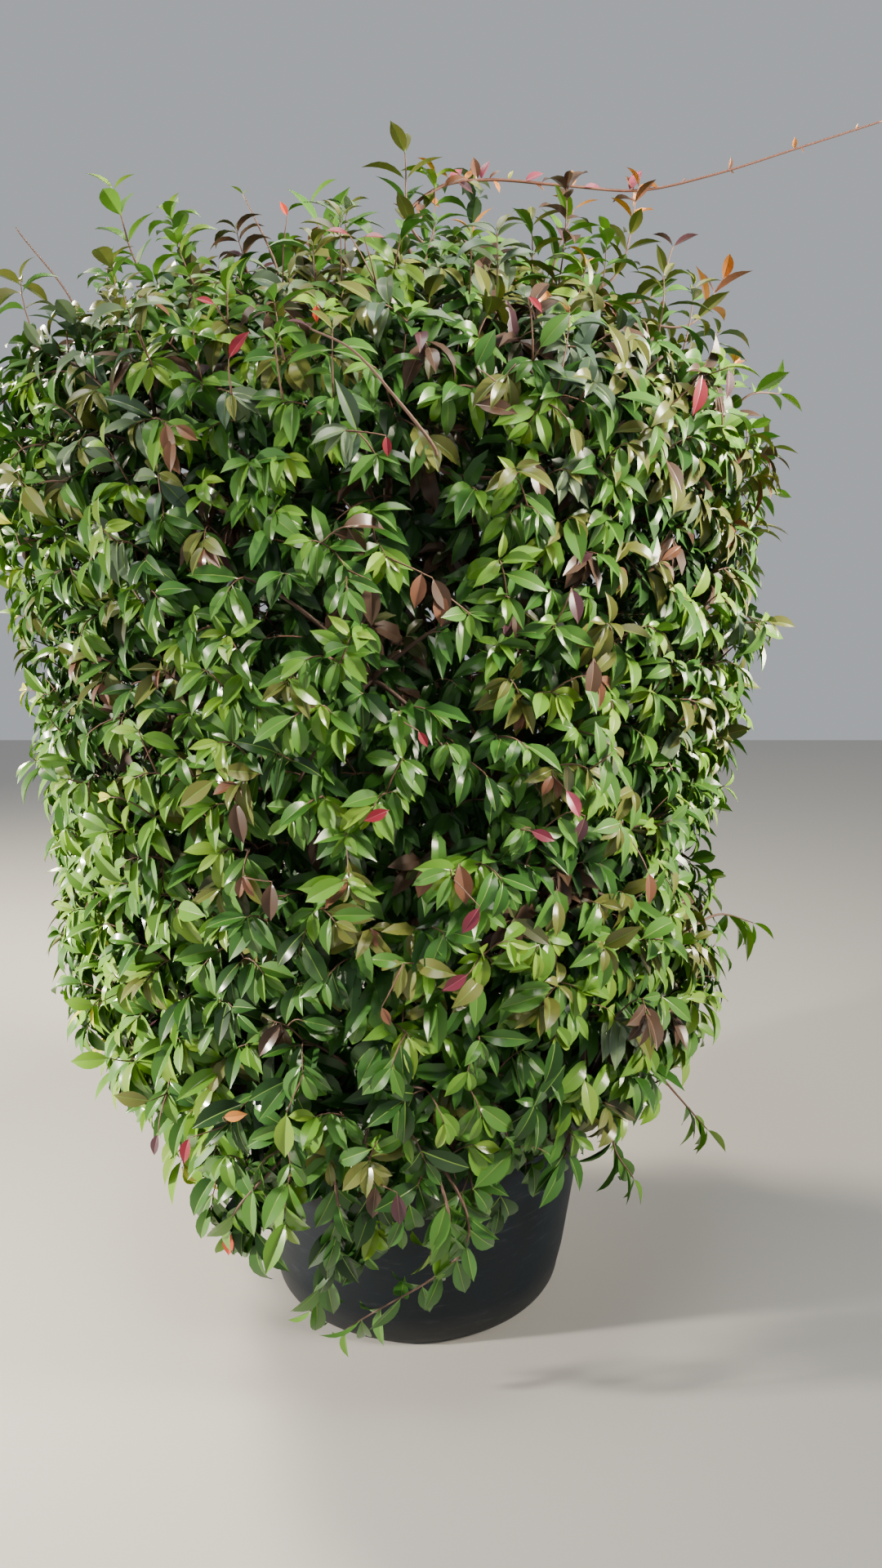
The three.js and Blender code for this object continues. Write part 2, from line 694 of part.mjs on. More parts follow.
// The tub: rounded foot, straight flared wall and a rolled collar, moulded in one piece
function potGeometry() {
  const points = [new THREE.Vector2(0, 0)];
  const edge = new THREE.Vector2(potRadiusAt(0) - potEdgeRadius, potEdgeRadius);
  for (const turn of evenly(potEdgeSteps, 0, Math.PI / 2)) {
    points.push(new THREE.Vector2(
      edge.x + potEdgeRadius * Math.sin(turn),
      edge.y - potEdgeRadius * Math.cos(turn),
    ));
  }
  const collarFoot = potHeight - collarHeight;
  points.push(new THREE.Vector2(potRadiusAt(collarFoot), collarFoot));
  points.push(new THREE.Vector2(potRadiusAt(collarFoot) + collarProud, collarFoot + collarRound));
  points.push(new THREE.Vector2(potTopRadius + collarProud, potHeight - collarRound));
  points.push(new THREE.Vector2(potTopRadius + collarProud - collarRound, potHeight));
  points.push(new THREE.Vector2(potTopRadius - potWall + collarRound / 2, potHeight));
  points.push(new THREE.Vector2(potTopRadius - potWall, potHeight - collarRound));
  points.push(new THREE.Vector2(potRadiusAt(potFloor) - potWall, potFloor));
  points.push(new THREE.Vector2(0, potFloor));
  return lathed(points);
}

function soilGeometry() {
  const inner = (height) => potRadiusAt(height) - potWall - gap * 1.5;
  const bottom = potFloor + gap;
  return lathed([
    new THREE.Vector2(0, bottom),
    new THREE.Vector2(inner(bottom), bottom),
    new THREE.Vector2(inner(soilTop - soilDish.drop), soilTop - soilDish.drop),
    new THREE.Vector2(inner(soilTop) - soilDish.width, soilTop),
    new THREE.Vector2(0, soilTop),
  ]);
}

const shrub = new THREE.Group();
shrub.add(named('pot', fromSolid(toSolid(potGeometry())), colours.pot, 0.6));
shrub.add(named('soil', fromSolid(toSolid(soilGeometry())), colours.soil, 0.95));
shrub.add(named('trunk', fromSolid(toSolid(trunkGeometry())), colours.bark, 0.85));
for (const mass of masses) {
  shrub.add(named(`bough_${mass.name}`, fromSolid(boughSolid(mass)), colours.bark, 0.85));
}
for (const mass of masses) {
  shrub.add(named(`foliage_${mass.name}`, fromSolid(massSolid(mass)), colours.foliage, 0.5));
}
shrub.add(named('runner', fromSolid(runnerSolid()), colours.runner, 0.6));

export default shrub;
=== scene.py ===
# A star jasmine kept as a dense, upright shrub in a round black tub, dressed for close views.
# The pieces follow in the order in which the plant is put together: tub, soil, trunk, boughs,
# twigs, leaves, long shoots, runner, and then the studio that it stands in.
import math

import bpy
import numpy as np
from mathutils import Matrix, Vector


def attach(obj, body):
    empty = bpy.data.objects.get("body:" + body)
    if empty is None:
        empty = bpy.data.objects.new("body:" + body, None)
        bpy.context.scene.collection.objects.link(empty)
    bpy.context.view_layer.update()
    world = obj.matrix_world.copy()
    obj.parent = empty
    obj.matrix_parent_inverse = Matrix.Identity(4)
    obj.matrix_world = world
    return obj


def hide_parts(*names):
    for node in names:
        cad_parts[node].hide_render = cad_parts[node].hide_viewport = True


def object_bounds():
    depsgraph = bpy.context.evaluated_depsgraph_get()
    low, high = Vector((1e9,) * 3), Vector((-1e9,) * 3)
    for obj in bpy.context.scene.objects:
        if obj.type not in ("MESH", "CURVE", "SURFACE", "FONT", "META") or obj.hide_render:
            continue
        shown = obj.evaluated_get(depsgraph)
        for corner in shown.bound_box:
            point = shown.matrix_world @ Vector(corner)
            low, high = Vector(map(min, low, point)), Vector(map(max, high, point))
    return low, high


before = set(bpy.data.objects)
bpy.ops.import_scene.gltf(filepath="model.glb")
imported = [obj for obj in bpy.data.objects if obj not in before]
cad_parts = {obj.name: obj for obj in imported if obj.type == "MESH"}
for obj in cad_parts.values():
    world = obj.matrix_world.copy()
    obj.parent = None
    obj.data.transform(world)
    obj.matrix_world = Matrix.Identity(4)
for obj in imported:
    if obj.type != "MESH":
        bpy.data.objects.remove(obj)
cad_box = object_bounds()

# The tub
# A large nursery planter of black polyethylene, injection moulded in one piece: a rounded foot,
# a straight flared wall and a rolled collar. It stands on its flat underside, which carries it all.
mm = 0.001
pot_height = 440
pot_foot_radius = 286
pot_top_radius = 349
pot_wall = 8
pot_floor = 12
pot_edge_radius = 26
collar_height = 30
collar_proud = 8
collar_round = 6
pot_turns = 144
wall_steps = 8
collar_steps = 4
rim_steps = 6


def pot_radius_at(height):
    """The tub's outer radius at a height, by its straight wall."""
    return pot_foot_radius + (pot_top_radius - pot_foot_radius) * height / pot_height


def arc(x, z, radius, start, end, steps):
    """Points of an arc in a turned profile, by its centre, radius and start and end in degrees."""
    turn = np.radians(np.linspace(start, end, steps + 1))
    return [(x + radius * math.cos(a), z + radius * math.sin(a)) for a in turn]


def ring_bands(rings, sides):
    """Triangles that join each ring of points to the next."""
    here = np.arange(sides)
    after = (here + 1) % sides
    faces = []
    for low in range(0, (rings - 1) * sides, sides):
        high = low + sides
        faces.append(np.column_stack([low + here, low + after, high + after]))
        faces.append(np.column_stack([low + here, high + after, high + here]))
    return faces


def lathe(profile, turns):
    """Turns a closed profile that starts and ends on the axis into points and triangles."""
    rings = np.array(profile[1:-1], dtype=float)
    angle = np.arange(turns) * 2 * math.pi / turns
    ring_points = np.stack([
        rings[:, None, 0] * np.cos(angle),
        rings[:, None, 0] * np.sin(angle),
        np.repeat(rings[:, None, 1], turns, axis=1),
    ], axis=-1).reshape(-1, 3)
    points = np.vstack([ring_points, [0, 0, profile[0][1]], [0, 0, profile[-1][1]]])
    first, last = len(points) - 2, len(points) - 1
    here = np.arange(turns)
    after = (here + 1) % turns
    top = (len(rings) - 1) * turns
    foot_fan = np.column_stack([np.full(turns, first), after, here])
    top_fan = np.column_stack([top + here, top + after, np.full(turns, last)])
    return points, np.vstack([foot_fan, *ring_bands(len(rings), turns), top_fan])


def add_piece(name, points, faces, materials, which=None):
    """A smooth mesh piece from points in millimetres and triangles, riding on the one body."""
    mesh = bpy.data.meshes.new(name)
    mesh.vertices.add(len(points))
    mesh.vertices.foreach_set("co", (np.asarray(points) * mm).astype(np.float32).ravel())
    mesh.loops.add(faces.size)
    mesh.loops.foreach_set("vertex_index", faces.astype(np.int32).ravel())
    mesh.polygons.add(len(faces))
    mesh.polygons.foreach_set("loop_start", np.arange(0, faces.size, 3, dtype=np.int32))
    if which is not None:
        mesh.polygons.foreach_set("material_index", which.astype(np.int32))
    mesh.polygons.foreach_set("use_smooth", np.full(len(faces), True))
    mesh.update(calc_edges=True)
    for material in materials:
        mesh.materials.append(material)
    piece = bpy.data.objects.new(name, mesh)
    bpy.context.scene.collection.objects.link(piece)
    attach(piece, "root")
    return piece


def linear(hex_colour):
    """An sRGB hex colour as linear red, green, blue and alpha."""
    channels = [int(hex_colour[i:i + 2], 16) / 255 for i in (1, 3, 5)]
    bent = [c / 12.92 if c <= 0.04045 else ((c + 0.055) / 1.055) ** 2.4 for c in channels]
    return (*bent, 1.0)


def new_material(name):
    """A new material, its node tree and its principled shader."""
    material = bpy.data.materials.new(name)
    material.use_nodes = True
    return material, material.node_tree, material.node_tree.nodes["Principled BSDF"]


def set_inputs(tree, node, inputs):
    """Gives a node its inputs, each of them a value or a socket to link."""
    for name, value in inputs.items():
        if isinstance(value, bpy.types.NodeSocket):
            tree.links.new(value, node.inputs[name])
        else:
            node.inputs[name].default_value = value


def add_node(tree, kind, settings, inputs):
    """Adds a node: settings are its own properties, and inputs are as in set_inputs."""
    made = tree.nodes.new(kind)
    for name, value in settings.items():
        setattr(made, name, value)
    set_inputs(tree, made, inputs)
    return made


def per_metre(size_mm):
    """How often a pattern of that size in millimetres repeats in a metre."""
    return 1000 / size_mm


# Moulded polyethylene: nearly black with a blue cast, a fine matte grain from the mould, paler
# scuffs, and a dusty band at the foot where rain splashes grit up from the ground
plastic, tree, shader = new_material("moulded_polyethylene")
place = add_node(tree, "ShaderNodeTexCoord", {}, {}).outputs["Object"]
cloud = add_node(tree, "ShaderNodeTexNoise", {}, {
    "Vector": place, "Scale": per_metre(140), "Detail": 6.0, "Roughness": 0.62})
streak_place = add_node(tree, "ShaderNodeMapping", {}, {"Vector": place, "Scale": (1.0, 1.0, 6.0)})
streaks = add_node(tree, "ShaderNodeTexNoise", {}, {
    "Vector": streak_place.outputs["Vector"], "Scale": per_metre(60), "Detail": 8.0, "Roughness": 0.7})
scuffs = add_node(tree, "ShaderNodeMapRange", {}, {
    "Value": streaks.outputs["Fac"], "From Min": 0.56, "From Max": 0.74, "To Max": 0.34})
height = add_node(tree, "ShaderNodeSeparateXYZ", {}, {"Vector": place}).outputs["Z"]
foot_dust = add_node(tree, "ShaderNodeMapRange", {}, {
    "Value": height, "From Min": 0.07, "From Max": 0.0, "To Max": 0.5})
speckled_dust = add_node(tree, "ShaderNodeMath", {"operation": "MULTIPLY"}, {
    0: foot_dust.outputs["Result"], 1: cloud.outputs["Fac"]})
body_colour = add_node(tree, "ShaderNodeMix", {"data_type": "RGBA"}, {
    "Factor": cloud.outputs["Fac"], 6: linear("#050c12"), 7: linear("#0d1a23")})
scuffed = add_node(tree, "ShaderNodeMix", {"data_type": "RGBA"}, {
    "Factor": scuffs.outputs["Result"], 6: body_colour.outputs[2], 7: linear("#4a4f56")})
dusted = add_node(tree, "ShaderNodeMix", {"data_type": "RGBA"}, {
    "Factor": speckled_dust.outputs["Value"], 6: scuffed.outputs[2], 7: linear("#5f5b54")})
gloss = add_node(tree, "ShaderNodeMapRange", {}, {
    "Value": cloud.outputs["Fac"], "To Min": 0.42, "To Max": 0.66})
grain = add_node(tree, "ShaderNodeTexNoise", {}, {
    "Vector": place, "Scale": per_metre(3.5), "Detail": 3.0})
relief = add_node(tree, "ShaderNodeMix", {"data_type": "FLOAT"}, {
    "Factor": 0.5, "A": grain.outputs["Fac"], "B": streaks.outputs["Fac"]})
bump = add_node(tree, "ShaderNodeBump", {}, {
    "Height": relief.outputs["Result"], "Strength": 0.35, "Distance": 0.0012})
set_inputs(tree, shader, {
    "Base Color": dusted.outputs[2], "Roughness": gloss.outputs["Result"], "IOR": 1.51,
    "Specular IOR Level": 0.26, "Normal": bump.outputs["Normal"]})

# The outline in turn: rounded foot, wall, hollow under the collar, the collar and its inner edge
collar_foot = pot_height - collar_height
pot_profile = [(0, 0)]
pot_profile += arc(pot_foot_radius - pot_edge_radius, pot_edge_radius, pot_edge_radius,
                   -90, 0, wall_steps)
for step in range(1, wall_steps + 1):
    reach_up = pot_edge_radius + (collar_foot - collar_round - pot_edge_radius) * step / wall_steps
    pot_profile.append((pot_radius_at(reach_up), reach_up))
shoulder = pot_radius_at(collar_foot)
pot_profile += arc(shoulder + collar_proud, collar_foot - collar_round, collar_round,
                   180, 90, collar_steps)[1:]
pot_profile[-1] = (shoulder + collar_proud - collar_round / 2, collar_foot)
pot_profile += arc(pot_top_radius + collar_proud - collar_round, collar_foot + collar_round,
                   collar_round, -60, 0, collar_steps)
pot_profile += arc(pot_top_radius + collar_proud - collar_round, pot_height - collar_round,
                   collar_round, 0, 90, rim_steps)
pot_profile += arc(pot_top_radius - pot_wall + collar_round / 2, pot_height - collar_round / 2,
                   collar_round / 2, 90, 180, collar_steps)
pot_profile += [(pot_radius_at(pot_floor) - pot_wall, pot_floor), (0, pot_floor)]
points, faces = lathe(pot_profile, pot_turns)
tub = add_piece("tub", points, faces, [plastic])
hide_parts("pot")

# The soil
# Peat-based potting soil, tipped in round the root ball, firmed by hand and settled by watering.
# It fills the tub to two fingers under the rim, and its surface is left rough and crumbly.
soil_top = 400
soil_settled = 4
soil_gap = 0.45
soil_lift = 1
soil_relief = 3.5
clod_sizes = [90, 61, 38, 25, 17, 12, 9]
soil_rings = 60
soil_turns = 120


def ripples(points, sizes, seed):
    """Soft random relief between -1 and 1 at some points: a few waves of the given sizes."""
    source = np.random.default_rng(seed)
    total = np.zeros(points.shape[:-1])
    for size in sizes:
        way = source.normal(size=3)
        way *= 2 * math.pi / (size * np.linalg.norm(way))
        total += np.sin(points @ way + source.uniform(0, 2 * math.pi))
    return total / len(sizes)


# Peat and bark fines: almost black when damp, with paler fibres, and never shiny
peat, tree, shader = new_material("damp_peat")
place = add_node(tree, "ShaderNodeTexCoord", {}, {}).outputs["Object"]
crumbs = add_node(tree, "ShaderNodeTexNoise", {}, {
    "Vector": place, "Scale": per_metre(9), "Detail": 7.0, "Roughness": 0.7})
fibres = add_node(tree, "ShaderNodeTexVoronoi", {}, {"Vector": place, "Scale": per_metre(5)})
damp = add_node(tree, "ShaderNodeMix", {"data_type": "RGBA"}, {
    "Factor": crumbs.outputs["Fac"], 6: linear("#1c140f"), 7: linear("#4a382b")})
bump = add_node(tree, "ShaderNodeBump", {}, {
    "Height": fibres.outputs["Distance"], "Strength": 0.6, "Distance": 0.003})
set_inputs(tree, shader, {
    "Base Color": damp.outputs[2], "Roughness": 0.95, "Normal": bump.outputs["Normal"]})

# The edge fits the tub as low as the clods may sink
soil_level = soil_top - soil_settled
soil_edge = pot_radius_at(soil_level - soil_settled) - pot_wall - soil_gap
soil_profile = [(0, pot_floor + soil_lift)]
soil_profile += [(pot_radius_at(pot_floor) - pot_wall - soil_gap, pot_floor + soil_lift)]
soil_profile += [(soil_edge * (1 - ring / soil_rings), soil_level) for ring in range(soil_rings)]
soil_profile += [(0, soil_level)]
points, faces = lathe(soil_profile, soil_turns)
surface = points[:, 2] == soil_level
points[surface, 2] += (soil_relief * ripples(points, clod_sizes, 11))[surface]
soil = add_piece("potting_soil", points, faces, [peat])
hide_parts("soil")

# The trunk
# The jasmine's oldest stem, woody, with ridged grey-brown bark. It rises from a flare of roots at
# the soil, leans a little to the crown's middle, and tapers up through the foliage.
crown_x = -50
trunk_top = 1535
trunk_bend = (-12, 420)
trunk_base_radius = 34
trunk_radius = 22
trunk_tip_radius = 8
flare_height = 35
flare_sink = 6
trunk_stations = 150
trunk_crowding = 1.3
trunk_sides = 40
piece_gap = 0.3
# Relief of the bark: depths are shares of the stem's radius, and ridges wander by radians of phase
ridge_count = 7
ridge_depth = 0.09
ridge_wander = 1.98
wander_sizes = [170, 110, 70]
plate_depth = 0.05
plate_sizes = [34, 21, 15, 11]
# Not quite upright, so that an upright limb has a level side too
nearly_up = (0.003, 0.002, 1.0)


def unit(vectors):
    """Vectors brought to a length of one."""
    return vectors / np.maximum(np.linalg.norm(vectors, axis=-1, keepdims=True), 1e-9)


def bezier(start, bend, end, along):
    """Points of many quadratic curves: start, bend and end are rows, along is where on each."""
    t = np.asarray(along)[..., None]
    start, bend, end = (np.asarray(knot, dtype=float)[..., None, :] for knot in (start, bend, end))
    return (1 - t) ** 2 * start + 2 * t * (1 - t) * bend + t * t * end


def tubes(centres, radii, sides, relief=None):
    """Round limbs along rows of centres, with a radius for each station, closed at both ends."""
    count, stations = centres.shape[:2]
    tangent = unit(np.gradient(centres, axis=1))
    level = unit(np.cross(centres[:, -1] - centres[:, 0], nearly_up))
    rise = unit(np.cross(np.broadcast_to(level[:, None], tangent.shape), tangent))
    side = np.cross(tangent, rise)
    turn = np.arange(sides) * 2 * math.pi / sides
    spokes = side[:, :, None] * np.cos(turn)[:, None] + rise[:, :, None] * np.sin(turn)[:, None]
    reach = np.broadcast_to(np.asarray(radii)[:, None], (count, stations, sides))
    if relief is not None:
        reach = reach + relief(centres[:, :, None] + spokes * reach[..., None], turn, reach)
    points = centres[:, :, None] + spokes * reach[..., None]
    inner = np.arange(1, sides - 1)
    top = (stations - 1) * sides
    foot_cap = np.column_stack([np.zeros(sides - 2, dtype=int), inner + 1, inner])
    top_cap = np.column_stack([np.full(sides - 2, top), top + inner, top + inner + 1])
    pattern = np.vstack([*ring_bands(stations, sides), foot_cap, top_cap])
    shift = np.arange(count) * stations * sides
    return points.reshape(-1, 3), (pattern + shift[:, None, None]).reshape(-1, 3)


def bark_relief(points, turn, reach):
    """Ridges that run up a stem and wander, with cracks across them, in millimetres."""
    wander = ridge_wander * ripples(points, wander_sizes, 21)
    ridges = np.abs(np.sin(ridge_count * turn / 2 + wander))
    plates = ripples(points, plate_sizes, 22)
    return reach * (ridge_depth * ridges - plate_depth + plate_depth * plates)


# Ridged bark of an old climber: grey-brown, darker in the cracks, dry and rough
bark, tree, shader = new_material("ridged_bark")
place = add_node(tree, "ShaderNodeTexCoord", {}, {}).outputs["Object"]
grain_place = add_node(tree, "ShaderNodeMapping", {}, {"Vector": place, "Scale": (1.0, 1.0, 0.16)})
strands = add_node(tree, "ShaderNodeTexNoise", {}, {
    "Vector": grain_place.outputs["Vector"], "Scale": per_metre(5), "Detail": 8.0, "Roughness": 0.65})
barked = add_node(tree, "ShaderNodeMix", {"data_type": "RGBA"}, {
    "Factor": strands.outputs["Fac"], 6: linear("#352720"), 7: linear("#8b7361")})
bump = add_node(tree, "ShaderNodeBump", {}, {
    "Height": strands.outputs["Fac"], "Strength": 0.7, "Distance": 0.002})
set_inputs(tree, shader, {
    "Base Color": barked.outputs[2], "Roughness": 0.88, "Normal": bump.outputs["Normal"]})

trunk_points = [(0, 0, soil_top + piece_gap), (trunk_bend[0], 0, soil_top + trunk_bend[1]),
                (crown_x, 0, trunk_top)]


def trunk_at(height):
    """The middle of the trunk at a height."""
    share = (np.asarray(height, dtype=float) - soil_top) / (trunk_top - soil_top)
    return bezier(*trunk_points, np.atleast_1d(share))[0]


# The stations crowd towards the foot, which flares and is cut level a little way into the soil
along = np.linspace(0, 1, trunk_stations) ** trunk_crowding
centres = bezier(*trunk_points, along)
flare = (trunk_base_radius - trunk_radius) * np.exp((soil_top - centres[:, 2]) / flare_height)
radii = trunk_radius + (trunk_tip_radius - trunk_radius) * along + flare
points, faces = tubes(centres[None], radii, trunk_sides, bark_relief)
points[:, 2] = np.maximum(points[:, 2], soil_top - flare_sink)
trunk = add_piece("trunk_bark", points, faces, [bark])
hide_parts("trunk")

# The boughs
# One limb for each mass of foliage, thinner and smoother than the trunk. Each leaves the trunk in
# turn, rises, and levels out to where its mass begins. They are the plant's own wood.
crown_depth = 0.92
column_radius = 150
bough_square = 70
top_bough_reach = 70
top_bough_square = 40
bough_radii = (9, 6.5)
bough_stations = 26
bough_sides = 14
# Rings of masses from the hem up: the height of their middles and how far out they lie, how many
# they are, the ring's turn in shares of a step, how high the boughs enter, how far below that the
# ring's last bough leaves the trunk, and how far above the next one each leaves
ring_facts = ("name", "height", "reach", "count", "turn", "entry", "rise", "climb")
rings = [dict(zip(ring_facts, facts)) for facts in (
    ("skirt", 560, 470, 5, 0.0, 535, 84, 14),
    ("lower", 895, 515, 5, 0.5, 835, 160, 25),
    ("middle", 1225, 530, 5, 0.0, 1165, 160, 25),
    ("upper", 1545, 530, 5, 0.5, 1485, 160, 25),
    ("top", 1800, 225, 3, 0.5, 1560, 80, 20),
)]
masses = []
for level, ring in enumerate(rings):
    for number in range(ring["count"]):
        angle = -math.pi / 2 + (number + ring["turn"]) * 2 * math.pi / ring["count"]
        outward = np.array([math.cos(angle), math.sin(angle), 0.0])
        on_top = ring["name"] == "top"
        facing = np.array([0.0, 0.0, 1.0]) if on_top else outward
        across = np.array([1.0, 0.0, 0.0]) if on_top else np.cross([0, 0, 1], outward)
        boughs_left = ring["count"] - 1 - number
        masses.append({
            "name": f"{ring['name']}_{number + 1}",
            "ring": level,
            "centre": np.array([crown_x, 0, ring["height"]])
            + ring["reach"] * outward * [1, crown_depth, 0],
            "facing": facing,
            "across": across,
            "along": np.cross(facing, across),
            "entry": np.array([crown_x, 0, ring["entry"]])
            + outward * (top_bough_reach if on_top else column_radius),
            "from": ring["entry"] - ring["rise"] + ring["climb"] * boughs_left,
            "square": top_bough_square if on_top else bough_square,
            "seed": 100 * (level + 1) + number,
        })

starts = np.array([trunk_at(mass["from"]) for mass in masses])
ends = np.array([mass["entry"] - mass["facing"] * piece_gap / 2 for mass in masses])
bends = np.array([end - mass["facing"] * mass["square"] for end, mass in zip(ends, masses)])
centres = bezier(starts, bends, ends, np.linspace(0, 1, bough_stations))
radii = np.linspace(*bough_radii, bough_stations)
points, faces = tubes(centres, radii, bough_sides, bark_relief)
boughs = add_piece("boughs_bark", points, faces, [bark])
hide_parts(*[f"bough_{mass['name']}" for mass in masses])

# The twigs
# Young wood that branches on from the boughs. Twigs spread to tips just under the crown's surface,
# each far from those before, and finer shoots leave the nearest wood, arch up, and droop.
hem_height = 390
hem_tilt = (45, 30)
hem_radius = 575
hem_round = 150
hem_tuck = 0.24
shoulder_height = 1600
shoulder_radius = 668
side_swell = 0.6
roof_height = 1905
roof_squareness = 2.4
crown_span = 1100
surface_halvings = 11
# Foliage faces away from an upright line, the crown's heart: its foot, its top, and how much the
# foliage above and below it turns up and down
heart = (490, 1480, 1.6)
# Lumps run round the sides: how many, their rise a millimetre, phase, and share of the radius
lumps = [(3, 0.0061, 0.4, 0.018), (5, -0.0083, 2.1, 0.016), (2, 0.0142, 4.4, 0.014)]
# Humps stand on the roof: x, y, height and spread. Hollows lie in the front: x, z, depth and spread.
humps = [(120, -60, 90, 200), (-470, -80, 45, 170)]
hollows = [(105, 1545, 46, 105), (45, 1395, 50, 105), (85, 1210, 42, 75)]


def cover_over(points):
    """How far points lie inside the crown's sides and roof, and above its hem."""
    across, away = points[..., 0] - crown_x, points[..., 1] / crown_depth
    height = points[..., 2]
    angle, distance = np.arctan2(away, across), np.hypot(across, away)
    hem = hem_height + hem_tilt[0] * np.cos(angle) + hem_tilt[1] * np.sin(angle)
    climb = np.clip((height - hem_height) / (shoulder_height - hem_height), 0, 1)
    radius = hem_radius + (shoulder_radius - hem_radius) * climb ** side_swell
    lower = np.minimum(height, shoulder_height)
    for turns, rise, phase, share in lumps:
        radius = radius * (1 + share * np.sin(turns * angle + rise * lower + phase))
    for x, z, sink, spread in hollows:
        off = np.hypot(crown_x + radius * np.cos(angle) - x, lower - z) / spread
        radius = radius - sink * np.exp(-off * off) * np.maximum(-np.sin(angle), 0)
    tuck = np.maximum(0, (hem + hem_round - height) / hem_round)
    radius = radius * (1 - hem_tuck * tuck * tuck)
    out = np.clip(distance / np.maximum(radius, 1), 0, 1)
    dome = (1 - out ** roof_squareness) ** (1 / roof_squareness)
    roof = shoulder_height + (roof_height - shoulder_height) * dome
    for x, y, rise, spread in humps:
        off = np.hypot(points[..., 0] - x, points[..., 1] - y) / spread
        roof = roof + rise * np.exp(-off * off)
    return np.minimum(radius - distance, roof - height), height - hem


def surface_from(start, directions):
    """Where rays from a point inside the crown meet its surface."""
    near, far = np.zeros(len(directions)), np.full(len(directions), float(crown_span))
    for _ in range(surface_halvings):
        middle = (near + far) / 2
        side, hem = cover_over(start + directions * middle[:, None])
        inside = (side >= 0) & (hem >= 0)
        near, far = np.where(inside, middle, near), np.where(inside, far, middle)
    return start + directions * near[:, None]


def outward_at(points):
    """The way that foliage faces: level at the sides and upward on the roof."""
    low, high, roof_tilt = heart
    rise = (points[..., 2] - np.clip(points[..., 2], low, high)) * roof_tilt
    return unit(np.stack([points[..., 0] - crown_x, points[..., 1] / crown_depth, rise], axis=-1))


pot_spare = 6


def clear_of_pot(points, spare=pot_spare):
    """True for points that lie outside the tub."""
    reach = np.hypot(points[..., 0], points[..., 1])
    wall = pot_radius_at(np.minimum(points[..., 2], pot_height)) + collar_proud
    return (reach > wall + spare) | (points[..., 2] > pot_height + spare)


def seeded_random(seed):
    """Repeatable random numbers between 0 and 1."""
    state = seed

    def draw():
        nonlocal state
        state = (state + 0x6D2B79F5) & 0xFFFFFFFF
        mixed = (state ^ (state >> 15)) * (1 | state) & 0xFFFFFFFF
        mixed = (mixed + (mixed ^ (mixed >> 7)) * (61 | mixed)) & 0xFFFFFFFF ^ mixed
        return (mixed ^ (mixed >> 14)) / 4294967296
    return draw


# Each mass keeps to its own cell, and its first twigs spread across it, up it and out. They end a
# little under the surface, and each is the one with most room among a few that were tried.
cell_reach = (380, 215, 140)
cell_margin = 0.6
twigs_per_mass = 6
twig_candidates = 14
twig_shy = 44
twig_margin = 24
twig_bend = (0.55, 0.16)
centre_of = np.array([mass["centre"] for mass in masses])
for index, mass in enumerate(masses):
    others = np.delete(centre_of, index, axis=0)
    normal = unit(others - mass["centre"])
    offset = np.sum(normal * (others + mass["centre"]) / 2, axis=1) - cell_margin
    inner = -mass["facing"]
    mass["normals"] = np.vstack([normal, inner])
    mass["offsets"] = np.append(offset, inner @ mass["entry"] - piece_gap / 2)


def inside_cell(mass, points, margin=0.0):
    """True for points on this mass's side of the others, and outward of where its bough enters."""
    return np.all(points @ mass["normals"].T < mass["offsets"] - margin, axis=-1)


def main_tips(mass):
    """The tips of the mass's first twigs, each far from those before it."""
    draw = seeded_random(mass["seed"])
    spots = np.array([[draw(), draw()] for _ in range(twigs_per_mass * twig_candidates)]) * 2 - 1
    way = mass["facing"] * cell_reach[2] + mass["across"] * cell_reach[0] * spots[:, :1]
    surface = surface_from(mass["centre"], unit(way + mass["along"] * cell_reach[1] * spots[:, 1:]))
    tips = surface - outward_at(surface) * twig_shy
    fits = inside_cell(mass, tips, twig_margin) & clear_of_pot(tips)
    chosen = []
    for first in range(0, len(tips), twig_candidates):
        best_room, best = -1, None
        for candidate in range(first, first + twig_candidates):
            room = min([crown_span] + [np.linalg.norm(tip - tips[candidate]) for tip in chosen])
            if room > best_room and fits[candidate]:
                best_room, best = room, tips[candidate]
        if best is not None:
            chosen.append(best)
    return np.array(chosen)


# Finer shoots grow in layers under the surface: how deep, how far apart, and how many tries
shoot_layers = [
    {"depth": (-12, 28), "spacing": 51, "tries": 7000},
    {"depth": (38, 76), "spacing": 49, "tries": 4500},
    {"depth": (80, 125), "spacing": 52, "tries": 3200},
    {"depth": (140, 215), "spacing": 64, "tries": 2200},
]
# They point anywhere from a little backwards to straight out of the mass, and stay off the tub
layer_facing = (-0.35, 1)
layer_spare = 20
# Only tips nearer than this to a mass's middle can crowd its own. A place far off crowds none, and
# gives the first tip something to be measured from.
mass_span = 520
far_off = (1e5, 0, 0)
# Sprays gather in clumps, and stay further in between them
clump_sizes = [330, 270, 215, 175, 140, 118]
clump_depth = 40
clump_start = 0.3
clump_slope = 1.4
clump_most = 1.2
# Where the sprays stay further in: the roof, and places on the sides, by their angle in degrees,
# height, depth, and spread in degrees and in millimetres
roof_sink = 60
roof_slope = 1.8
roof_start = 0.4
drawn_in = [(205, 610, 40, 38, 190), (-8, 1610, 36, 50, 240), (-14, 1150, 26, 34, 130),
            (-20, 780, 30, 34, 110), (207, 420, 95, 32, 105)]
# Gaps between the sprays at the front, where the dark inside shows: x and z in millimetres
recess_places = np.array([
    [79, 1235], [100, 1187], [42, 1051], [91, 1026], [-127, 1315], [5, 1325], [4, 1248], [-100, 1482],
    [-25, 994], [26, 646], [6, 932], [-111, 693], [-97, 623], [140, 623], [-134, 965], [-62, 1114],
    [19, 1472], [109, 1559], [58, 1393], [-178, 1309], [149, 788], [-196, 997], [274, 658],
])
recess_spread = 56
recess_depth = 112
